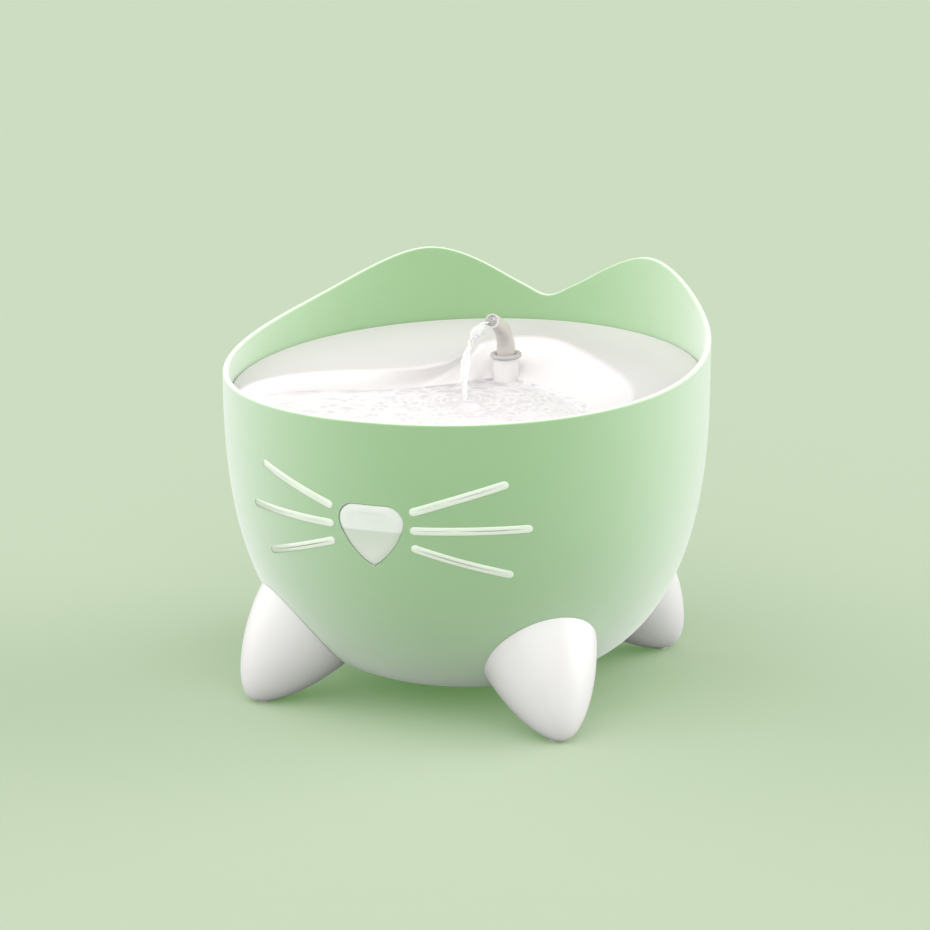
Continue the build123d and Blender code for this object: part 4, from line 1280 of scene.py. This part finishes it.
# --- Studio ---
@dataclass(frozen=True)
class SkyPatch:
    """A soft bright patch of the studio's surround, like a far softbox.

    Attributes:
        turn: Degrees from the right of the view, anticlockwise seen from above.
        height: Degrees over the floor.
        inner: Half angle of its evenly bright middle, degrees.
        outer: Half angle at which it has faded out.
        strength: Brightness of its middle.
    """

    turn: float
    height: float
    inner: float
    outer: float
    strength: float

    def direction(self, view_turn: float) -> Vector:
        """Unit vector towards the patch, for a view turned by so many degrees."""
        turn, height = radians(self.turn + view_turn), radians(self.height)
        return Vector((cos(height) * cos(turn), cos(height) * sin(turn), sin(height)))

    def falling(self, ways: np.ndarray, view_turn: float) -> np.ndarray:
        """Work out the patch's light.

        Args:
            ways: Unit vectors.
            view_turn: Turn of the view in degrees.

        Returns:
            Brightness along each of the ways.
        """
        near, far = cos(radians(self.inner)), cos(radians(self.outer))
        share = np.clip((ways @ np.array(self.direction(view_turn)) - far) / (near - far), 0, 1)
        return self.strength * share * share * (3 - 2 * share)

    def build(self, board: Board, ways: NodeSocket, view_turn: float) -> NodeSocket:
        """Add the patch to the world's nodes.

        Args:
            board: Board of the world.
            ways: Output that holds the way of the light.
            view_turn: Turn of the view in degrees.

        Returns:
            The patch's brightness.
        """
        dot = board.add("VectorMath", operation="DOT_PRODUCT")
        board.wire(ways, dot.inputs[0])
        dot.inputs[1].default_value = self.direction(view_turn)
        near, far = cos(radians(self.inner)), cos(radians(self.outer))
        return board.spread(dot.outputs["Value"], far, near, 0.0, self.strength, "SMOOTHSTEP")


@dataclass
class Studio:
    """Plain pale floor, an even surround with soft bright patches, and the camera.

    Attributes:
        floor_colour: Colour of the open floor as the camera sees it.
        floor_bounce: Colour of the floor to all other light.
        floor_glow: Share of its colour that stays in full shadow.
        fibre_shade: Brightness of the darker fibres as a share.
        ambient: Brightness of the even surround.
        camera_turn: Degrees that the camera is turned from looking straight back.
        camera_dip: Degrees that it looks down.
    """

    floor_colour: Colour = (0.610, 0.723, 0.533)
    floor_bounce: Colour = (0.38, 0.40, 0.37)
    floor_glow: Colour = (0.15, 0.28, 0.11)
    floor_reach: float = 60.0
    fibres: float = 60.0
    fibre_shade: float = 0.994
    ambient: float = 0.38
    camera_spot: tuple[float, float, float] = (0.4171, -1.0455, 0.3686)
    camera_turn: float = 21.79
    camera_dip: float = 12.8
    lens: float = 86.23
    sensor: float = 36.0
    clip: Point2 = (0.05, 200.0)
    patches: tuple[SkyPatch, ...] = (
        SkyPatch(257.0, 52.0, 20.0, 55.0, 1.9),
        SkyPatch(165.0, 18.0, 20.0, 45.0, 2.1),
        SkyPatch(10.0, 14.0, 15.0, 42.0, 3.9),
    )

    def floor_light(self) -> float:
        """Add up the surround's light over the sky, one degree at a time.

        Returns:
            Light that reaches the open floor, as a share of an even white surround.
        """
        heights = (np.arange(90) + 0.5) * pi / 180
        turns = (np.arange(360) + 0.5) * pi / 180
        height, turn = np.meshgrid(heights, turns)
        ways = np.stack([np.cos(height) * np.cos(turn), np.cos(height) * np.sin(turn), np.sin(height)], -1)
        light = self.ambient + sum(patch.falling(ways, self.camera_turn) for patch in self.patches)
        return float((light * np.sin(height) * np.cos(height)).sum() * (pi / 180) ** 2 / pi)

    def floor(self) -> None:
        """Lay the floor as one large sheet; what it throws back on the fountain is neutral."""
        reach = self.floor_reach
        mesh = bmesh.new()
        square = ((-1, -1), (1, -1), (1, 1), (-1, 1))
        mesh.faces.new([mesh.verts.new((x * reach, y * reach, 0)) for x, y in square])
        sheet = finished("floor", mesh)
        material, board, shader = new_material("floor_paper")
        light = self.floor_light()
        where = board.add("TexCoord").outputs["Object"]
        tone = board.spread(board.noise(where, self.fibres, 4.0), 0.3, 0.7, 0.0, 1.0)
        full = tuple(c * (1 - g) / light for c, g in zip(self.floor_colour, self.floor_glow))
        paper = board.mix(tone, full, tuple(c * self.fibre_shade for c in full))
        seen = board.add("LightPath").outputs["Is Camera Ray"]
        glow = tuple(c * g for c, g in zip(self.floor_colour, self.floor_glow))
        board.fill(shader, {"Emission Color": glow, "Emission Strength": seen})
        board.fill(shader, {"Roughness": 1.0, "Specular IOR Level": 0.0})
        board.wire(board.mix(seen, self.floor_bounce, paper), shader.inputs["Base Color"])
        sheet.data.materials.append(material)
        log.info("floor: light %.3f", light)

    def world(self) -> None:
        """Light everything softly, and show the floor's colour past its edge."""
        world = bpy.data.worlds.new("studio")
        world.use_nodes = True
        world.node_tree.nodes.clear()
        board = Board(world.node_tree)
        ways = board.add("TexCoord").outputs["Generated"]
        total: object = self.ambient
        for patch in self.patches:
            total = board.sum("ADD", patch.build(board, ways, self.camera_turn), total)
        seen, light = board.add("Background"), board.add("Background")
        board.fill(seen, {"Color": self.floor_colour})
        board.fill(light, {"Color": (1.0, 1.0, 1.0), "Strength": total})
        choice, output = board.add("MixShader"), board.add("OutputWorld")
        board.wire(board.add("LightPath").outputs["Is Camera Ray"], choice.inputs[0])
        board.wire(light.outputs[0], choice.inputs[1])
        board.wire(seen.outputs[0], choice.inputs[2])
        board.wire(choice.outputs[0], output.inputs["Surface"])
        bpy.context.scene.world = world

    def camera(self) -> None:
        """Set up the camera at its measured place."""
        data = bpy.data.cameras.new("camera")
        data.lens = self.lens
        data.sensor_width = self.sensor
        data.clip_start, data.clip_end = self.clip
        camera = bpy.data.objects.new("camera", data)
        camera.location = self.camera_spot
        camera.rotation_euler = (radians(90 - self.camera_dip), 0, radians(self.camera_turn))
        bpy.context.scene.collection.objects.link(camera)
        bpy.context.scene.camera = camera

    def build(self) -> None:
        """Build the whole studio."""
        self.floor()
        self.world()
        self.camera()
        bpy.context.scene.view_settings.view_transform = "Standard"
        log.info("studio: %d soft patches", len(self.patches))


def main() -> None:
    """Dress the frame, add the water and the face, and set up the studio."""
    logging.basicConfig(level=logging.INFO, format="%(name)s %(message)s")
    finisher = Finisher()
    finisher.build()
    finisher.dress()
    form = BowlForm()
    Face(form).build(finisher)
    Reservoir(form).build(finisher)
    Pool().build(finisher)
    Stream().build(finisher)
    Studio().build()


if __name__ == "__main__":
    main()
